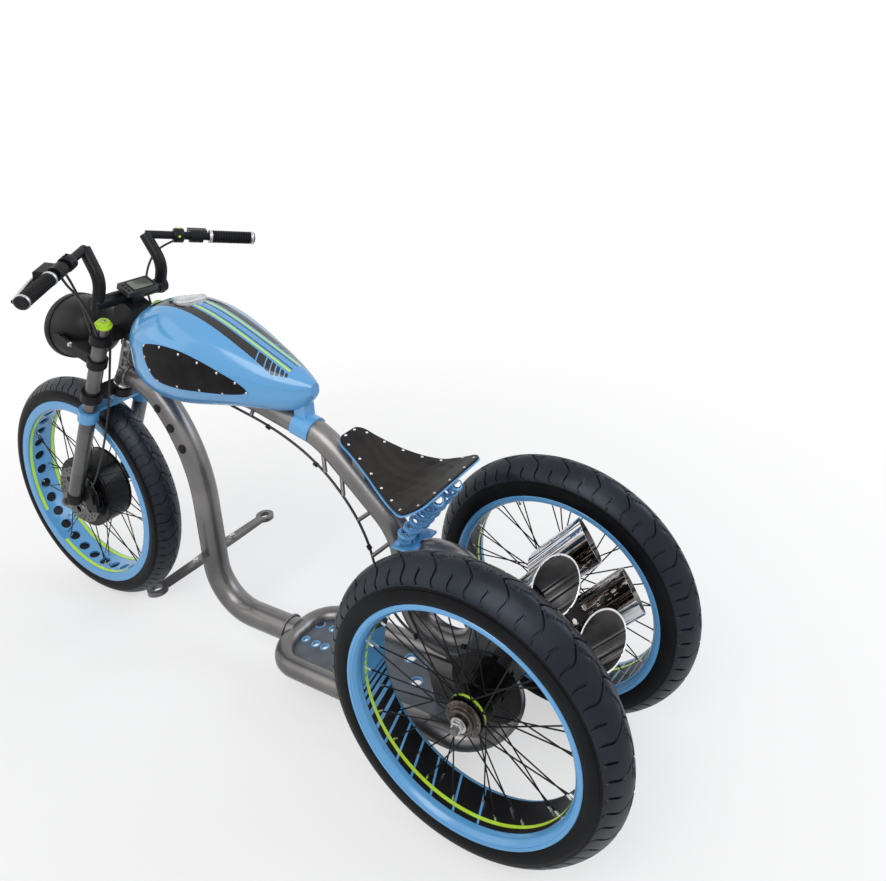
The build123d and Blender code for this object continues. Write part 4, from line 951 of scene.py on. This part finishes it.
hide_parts("headlight_shell")

# ---- handlebar
# Satin black risers and bars, with ribbed rubber grips between plated collars,
# moulded switch blocks and a black plug in each end.
dress(satin_black, "handlebar_left", "handlebar_right")
BAR_BEND, BAR_END = Vector((1139, 87, 1126)), Vector((1007, 332, 1072))
grip_rubber = mottled("grip_rubber", (0.006, 0.006, 0.0065), (0.014, 0.014, 0.0155), 0.0, 0.50, 30.0, 0.4,
                      shine=0.15)
lever_alloy = mottled("lever_alloy", (0.50, 0.50, 0.51), (0.70, 0.70, 0.71), 0.85, 0.26, 22.0, 0.05)
dress(satin_black, "brake_lever_left", "brake_lever_right")
GRIP_START, RIB_COUNT, GRIP_MARGIN = 164.0, 15, 8
bar_run = BAR_END - BAR_BEND
bar_length = bar_run.length
rib_pitch = (bar_length - GRIP_START - 2 * GRIP_MARGIN) / RIB_COUNT
GRIP_OUTLINE = [(GRIP_START, 11.2), (GRIP_START, 15.0)]
for rib in range(RIB_COUNT):
    at = GRIP_START + GRIP_MARGIN + rib_pitch * rib
    GRIP_OUTLINE += [(at, 15.6), (at + rib_pitch * 0.12, 17.2), (at + rib_pitch * 0.66, 17.4),
                     (at + rib_pitch * 0.78, 15.6)]
GRIP_OUTLINE += [(bar_length - 4, 15.0), (bar_length - 1, 14.0), (bar_length, 11.2)]
END_PLUG = [(bar_length + along, radius) for along, radius in (
    (-2.0, 0.2), (-2.0, 16.4), (1.0, 16.6), (2.8, 14.6), (3.2, 9.0), (2.6, 8.2), (2.4, 0.2))]
COLLAR = [(0, 11.4), (0, 17.6), (1, 18.3), (6, 18.3), (7, 17.6), (7, 11.4)]
SWITCH_BLOCK = [(70, 11.2), (70, 18.0), (72, 19.6), (94, 19.6), (96, 18.0), (96, 11.2)]
SWITCH_BUTTON = [(18, 0.2), (18, 3.2), (21.6, 3.2), (22.3, 2.6), (22.3, 0.2)]
for (hand, hand_name), knob_finish, knob_slot in zip(SIDES, (soft_rubber, lime), ("rubber", "lime_paint")):
    start = spot(BAR_BEND.x, hand * BAR_BEND.y, BAR_BEND.z)
    toward = Vector((bar_run.x, hand * bar_run.y, bar_run.z)).normalized()
    grip = finish(turned(GRIP_OUTLINE, start, toward, 48), "bar_grip_" + hand_name, grip_rubber, "rubber",
                  "steering", 50.0)
    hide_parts("grip_" + hand_name)
    collars = [turned([(at + along, radius) for along, radius in COLLAR], start, toward, 48)
               for at in (GRIP_START - 1, bar_length - 8)]
    finish(merged(collars), "grip_collars_" + hand_name, lever_alloy, "cast_grey", "steering")
    for name, outline, steps in (("bar_end_plug_", END_PLUG, 48), ("switch_block_", SWITCH_BLOCK, 40)):
        finish(turned(outline, start, toward, steps), name + hand_name, satin_black, "black_paint",
               "steering")
    up = (Vector((0, 0, 1)) - toward * toward.z).normalized()
    back = toward.cross(up) * hand
    knobs = [turned(SWITCH_BUTTON, start + toward * at / 1000, out, 16)
             for at, out in ((77, up), (88, up), (83, -back))]
    finish(merged(knobs), "switch_buttons_" + hand_name, knob_finish, knob_slot, "steering")

# ---- lever blades
# Cast and polished brake blades clip over the black lever arms; the right one is tinted gold.
gold_alloy = mottled("gold_alloy", (0.52, 0.40, 0.10), (0.74, 0.62, 0.24), 0.9, 0.24, 40.0)
BLADE_START, BLADE_WIDE, BLADE_THICK = 112, 5.9, 5.6
# shares of the blade's length: its heel ends, its tip begins to swell, its point begins to close
HEEL_TO, SWELL_FROM, POINT_FROM = 0.04, 0.82, 0.93
TIP_SWELL, LEAST_PINCH = 0.35, 0.03
# each knot of a blade: its offset from the bar's own line, and how far along that it is
BLADE_KNOTS = [((51, 0, 1), 66), ((52, 0, 0), 80), ((51, 0, -1.5), 100), ((49, 0, -4), 125),
               ((46, 0, -7), 150), ((44.5, 0, -8), 161)]
bar_line = bar_run.normalized()
knots = numpy.array([tuple(BAR_BEND + bar_line * BLADE_START + Vector(offset) + bar_line * along)
                     for offset, along in BLADE_KNOTS])
for (hand, hand_name), blade_finish in zip(SIDES, (lever_alloy, gold_alloy)):

    def blade_skin(along, around):
        at = along * (len(knots) - 1)
        middle = Vector([float(numpy.interp(at, range(len(knots)), knots[:, axis])) for axis in range(3)])
        swell = 1.0 + TIP_SWELL * max(0.0, along - SWELL_FROM) / (1.0 - SWELL_FROM)
        point = max(0.0, (along - POINT_FROM) / (1.0 - POINT_FROM))
        pinch = math.sqrt(max(LEAST_PINCH, 1 - point ** 2))
        pinch *= math.sqrt(max(LEAST_PINCH, min(1.0, along / HEEL_TO)))
        angle = around * math.tau
        middle += Vector((math.cos(angle) * BLADE_WIDE, 0.0, math.sin(angle) * BLADE_THICK)) * swell * pinch
        return spot(middle.x, hand * middle.y, middle.z)
    blade = laid(40, 16, blade_skin)
    sealed(0.00003, sides=0)
    finish(blade, "lever_blade_" + hand_name, blade_finish, "cast_grey", "steering")

# ---- display
# A small black moulded computer on the yoke, with a grey-green screen under
# clear plastic and three soft buttons at its left.
display_plastic = mottled("display_plastic", (0.012, 0.012, 0.013), (0.020, 0.020, 0.022), 0.0, 0.38, 40.0,
                          0.12, 0.2)
dress(display_plastic, "display")
DISPLAY_MIDDLE = spot(1092, -4, 1004)
SCREEN_SIDE, BUTTON_SIDE, BUTTON_PITCH = -6, 35, 12
BUTTON_OUTLINE = [(11, 0.2), (11, 4.0), (14.2, 3.9), (15.0, 3.0), (15.2, 0.2)]
display_above = FORK_UP.cross(LEFTWARD)


def rounded_slab(width, height, corner, thick, middle):
    """A slab with rounded corners that lies on the display, its face at middle."""
    edge = []
    for quarter, (cx, cy) in enumerate(((1, 1), (-1, 1), (-1, -1), (1, -1))):
        for part in range(7):
            angle = math.pi / 2 * (quarter + part / 6)
            edge.append((cx * (width / 2 - corner) + corner * math.cos(angle),
                         cy * (height / 2 - corner) + corner * math.sin(angle)))
    slab = plate(edge, [], thick, middle - FORK_UP * thick / 2000)
    slab.rotation_euler = Matrix((LEFTWARD, display_above, FORK_UP)).transposed().to_euler()
    return slab


screen_glass = mottled("screen_glass", (0.085, 0.095, 0.075), (0.120, 0.130, 0.100), 0.0, 0.10, 20.0,
                       0.0, 0.7)
for name, size, high, material, slot in (
        ("display_screen", (56, 34, 3, 1.6), 14.2, screen_glass, "plastic"),
        ("display_bezel", (64, 41, 4, 1.4), 13.6, rim_black, "black_paint")):
    slab = rounded_slab(*size, DISPLAY_MIDDLE + (FORK_UP * high + LEFTWARD * SCREEN_SIDE) / 1000)
    finish(slab, name, material, slot, "steering")
buttons = [turned(BUTTON_OUTLINE, DISPLAY_MIDDLE + (LEFTWARD * BUTTON_SIDE + display_above * shift) / 1000,
                  FORK_UP, 18) for shift in (-BUTTON_PITCH, 0, BUTTON_PITCH)]
finish(merged(buttons), "display_buttons", soft_rubber, "rubber", "steering")

# ---- cables
# Black sheathed cables run from the levers and along the top tube, held to the
# frame by small moulded rubber clips a hand's breadth apart.
cable_sheath = mottled("cable_sheath", (0.010, 0.010, 0.011), (0.020, 0.020, 0.022), 0.0, 0.42, 60.0, 0.1)
dress(cable_sheath, "brake_cable", "front_cables")
CLIP_SHARES = (0.12, 0.30, 0.48, 0.66, 0.84)
CLIP_OUTLINE = mirrored([(-6, 3.0), (-6, 4.4), (-5, 5.4)])
run = [solids["brake_cable"].matrix_world @ vertex.co for vertex in solids["brake_cable"].data.vertices]
low, high = min(point.x for point in run), max(point.x for point in run)
clip_places = []
for share in CLIP_SHARES:
    at = low + (high - low) * share
    near = sorted(run, key=lambda point: abs(point.x - at))[:16]
    clip_places.append(sum(near, Vector()) / len(near))
clips = [turned(CLIP_OUTLINE, place, beyond - place, 20) for place, beyond in
         zip(clip_places, clip_places[1:] + [clip_places[-1] * 2 - clip_places[-2]])]
finish(merged(clips), "cable_clips", soft_rubber, "rubber", "frame")

# ---- deck and lower loop
# Chequered steel deck plate, painted slate grey, with round holes lined by
# pressed blue rings; it is welded inside the lower loop of tube.
deck_paint = mottled("deck_paint", (0.060, 0.075, 0.092), (0.105, 0.125, 0.150), 0.3, 0.42, 18.0, 0.3, 0.1)
dress(deck_paint, "deck_plate")
DECK_HOLES = [(344, -50, 14), (286, -53, 14), (228, -55, 14), (170, -57, 14), (286, 7, 14), (225, 4, 14),
              (168, 4, 14), (632, -45, 12), (588, -47, 11), (628, 15, 9), (592, 17, 10), (564, 15, 10)]


def on_top(node, x, y):
    """A place at the height of a solid's top."""
    place = spot(x, y, 0)
    place.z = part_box(node)[1][2]
    return place


UPWARD = Vector((0, 0, 1))
linings = [turned([(-6.4, r - 1.6), (-6.4, r - 0.1), (0, r - 0.1), (0, r + 2.2), (0.9, r + 1.8), (1.2, r),
                   (0.6, r - 1.6)], on_top("deck_plate", x, y), UPWARD, 40) for x, y, r in DECK_HOLES]
finish(merged(linings), "deck_hole_linings", sky_blue, "blue_paint", "frame", 50.0)

# ---- foot pegs
# Forged steel bars with an open ring at each end, bolted under the down tube
# with a washer and a hexagon screw on each side.
PEG_X, PEG_BOLT_SIDES = 948, (62, -62)
PEG_BOLT = [(-2, 0.2), (-2, 10.5), (1.4, 10.5), (1.4, 8.4), (6.8, 8.4), (7.8, 7.2), (7.8, 0.2)]
dress(fork_steel, "foot_peg_left", "foot_peg_right")
pegs = [(PEG_BOLT, on_top("foot_peg_left", PEG_X, side), UPWARD) for side in PEG_BOLT_SIDES]
fixings("foot_peg_bolts", pegs, "frame", 6)

# ---- exhaust tips
# Chromed steel tubes cut on a slant, with a rolled bright lip. Dark and brown streaks along each tip are
# painted reflections in the chrome's colour, and the inside is painted dark grey as painted shade.
# the chrome's base colour is painted reflection: dark brown and warm streaks stretched along the tip over
# bright metal
chrome = mottled("chrome", (0.060, 0.042, 0.034), (0.88, 0.88, 0.89), 1.0, 0.055, 15.0, 0.0, 0.0, 0.02)
tree = chrome.node_tree
TIP_ANGLE = math.radians(46)
reflection_streak_turn = step(tree, "Mapping", {"Rotation": (0.0, -TIP_ANGLE, 0.0),
                                     "Vector": tree.nodes["Texture Coordinate"].outputs["Object"]})
reflection_streak_stretch = step(tree, "Mapping", {"Scale": (0.015, 1.0, 1.0), "Location": (0.0, 0.31, 0.17),
                                        "Vector": reflection_streak_turn.outputs["Vector"]})
wire(tree, tree.nodes["Noise Texture"], {"Vector": reflection_streak_stretch.outputs["Vector"], "Detail": 2.5})
reflection_streak_ramp = tree.nodes["Color Ramp"].color_ramp
reflection_streak_ramp.elements[0].position = 0.40
reflection_streak_ramp.elements[1].position = 0.56
# a warm brown band among the streaks, a painted reflection
painted_brown_reflection = reflection_streak_ramp.elements.new(0.47)
painted_brown_reflection.color = (0.26, 0.19, 0.15, 1.0)
# the inside of each tip is painted dark grey, a painted shade in the bore
painted_bore_shade = mottled("painted_bore_shade", (0.070, 0.068, 0.068), (0.200, 0.198, 0.200), 0.85, 0.36, 9.0, 0.1)
bright_lip = mottled("bright_lip", (0.78, 0.78, 0.79), (0.90, 0.90, 0.91), 1.0, 0.10, 20.0)
TIP_AXIS = Vector((-math.cos(TIP_ANGLE), 0.0, math.sin(TIP_ANGLE)))
TIP_SIDE, TIP_PLACES = 82, (("upper", -130, 566), ("lower", -224, 476))
LIP_FROM, LIP_TO, WALL_RADIUS, BORE_RADIUS = 0.0462, 0.0505, 0.0478, 0.0465
# how far a face looks along the tip to be its lip, and outwards at most to be its inside
LIP_FACING, BORE_FACING, WALL_FACING = 0.35, 0.2, -0.7
for level, x, z in TIP_PLACES:
    for hand, hand_name in SIDES:
        name = "exhaust_tip_" + level + "_" + hand_name
        tip = solids[name].copy()
        tip.data = solids[name].data.copy()
        bpy.context.scene.collection.objects.link(tip)
        chosen(tip)
        sealed(0.00002)
        tip.modifiers.clear()
        middle = spot(x, hand * TIP_SIDE, z)
        finish(tip, name + "_chrome", chrome, "chrome", "frame", 35.0)
        tip.data.materials.append(painted_bore_shade)
        tip.data.materials.append(bright_lip)
        for face in tip.data.polygons:
            away = face.center - middle
            radial = away - TIP_AXIS * away.dot(TIP_AXIS)
            outward = face.normal.dot(radial.normalized() if radial.length > 0.001 else TIP_AXIS)
            inside = BORE_FACING if radial.length < BORE_RADIUS else WALL_FACING
            if face.normal.dot(TIP_AXIS) > LIP_FACING and LIP_FROM < radial.length < LIP_TO:
                face.material_index = 2
            elif radial.length < WALL_RADIUS and outward < inside:
                # faces inside the bore take the painted shade
                face.material_index = 1
        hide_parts(name)

# ---- exhaust carrier
# A drilled and painted steel plate carries the four tips; a tube welded to its back clamps on the axle.
CARRIER_WIDE, CARRIER_TALL, CARRIER_THICK = 92.0, 170.0, 7.0
CARRIER_HOLES = [(0, 52, 15), (0, -52, 15)]
CARRIER_QUARTER = [(0.82, 1.0), (1.0, 0.9), (1.0, 0.62), (0.55, 0.5)]
STEM_OUTLINE = [(14, 0.2), (14, 13.6), (166, 13.6), (168, 12.5), (168, 0.2)]
CLAMP_OUTLINE = mirrored([(-22, 15.0), (-22, 20.5), (-20, 22.0)])
STUD_OUTLINE = [(-8, 0.2), (-8, 5), (4, 5), (4, 7.5), (9, 7.5), (10, 6.4), (10, 0.2)]
STUD_PLACES = [(-24, 24), (24, 24), (-24, -24), (24, -24)]
carrier_middle, axle_middle = spot(-116, 0, 458), spot(0, 0, REAR_RADIUS)
carrier_up = TIP_AXIS.cross(LEFTWARD)
carrier_edge = [(x * CARRIER_WIDE / 2, y * CARRIER_TALL / 2) for x, y in
                CARRIER_QUARTER[:1] + [(-x, y) for x, y in CARRIER_QUARTER]
                + [(-x, -y) for x, y in reversed(CARRIER_QUARTER)] + [(x, -y) for x, y in CARRIER_QUARTER]
                + CARRIER_QUARTER[:0:-1]]
backing = plate(carrier_edge, CARRIER_HOLES, CARRIER_THICK, carrier_middle)
backing.rotation_euler = Matrix((LEFTWARD, carrier_up, TIP_AXIS)).transposed().to_euler()
stem = turned(STEM_OUTLINE, axle_middle, carrier_middle - axle_middle, 40)
clamp = turned(CLAMP_OUTLINE, axle_middle, LEFTWARD, 48)
studs = [(STUD_OUTLINE, carrier_middle + (LEFTWARD * side + carrier_up * rise) / 1000, TIP_AXIS)
         for side, rise in STUD_PLACES]
bracket = finish(merged([backing, stem, clamp]), "exhaust_bracket", satin_black, "black_paint", "frame", 35.0)
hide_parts("exhaust_carrier")
fixings("exhaust_bracket_bolts", studs, "frame", 6)
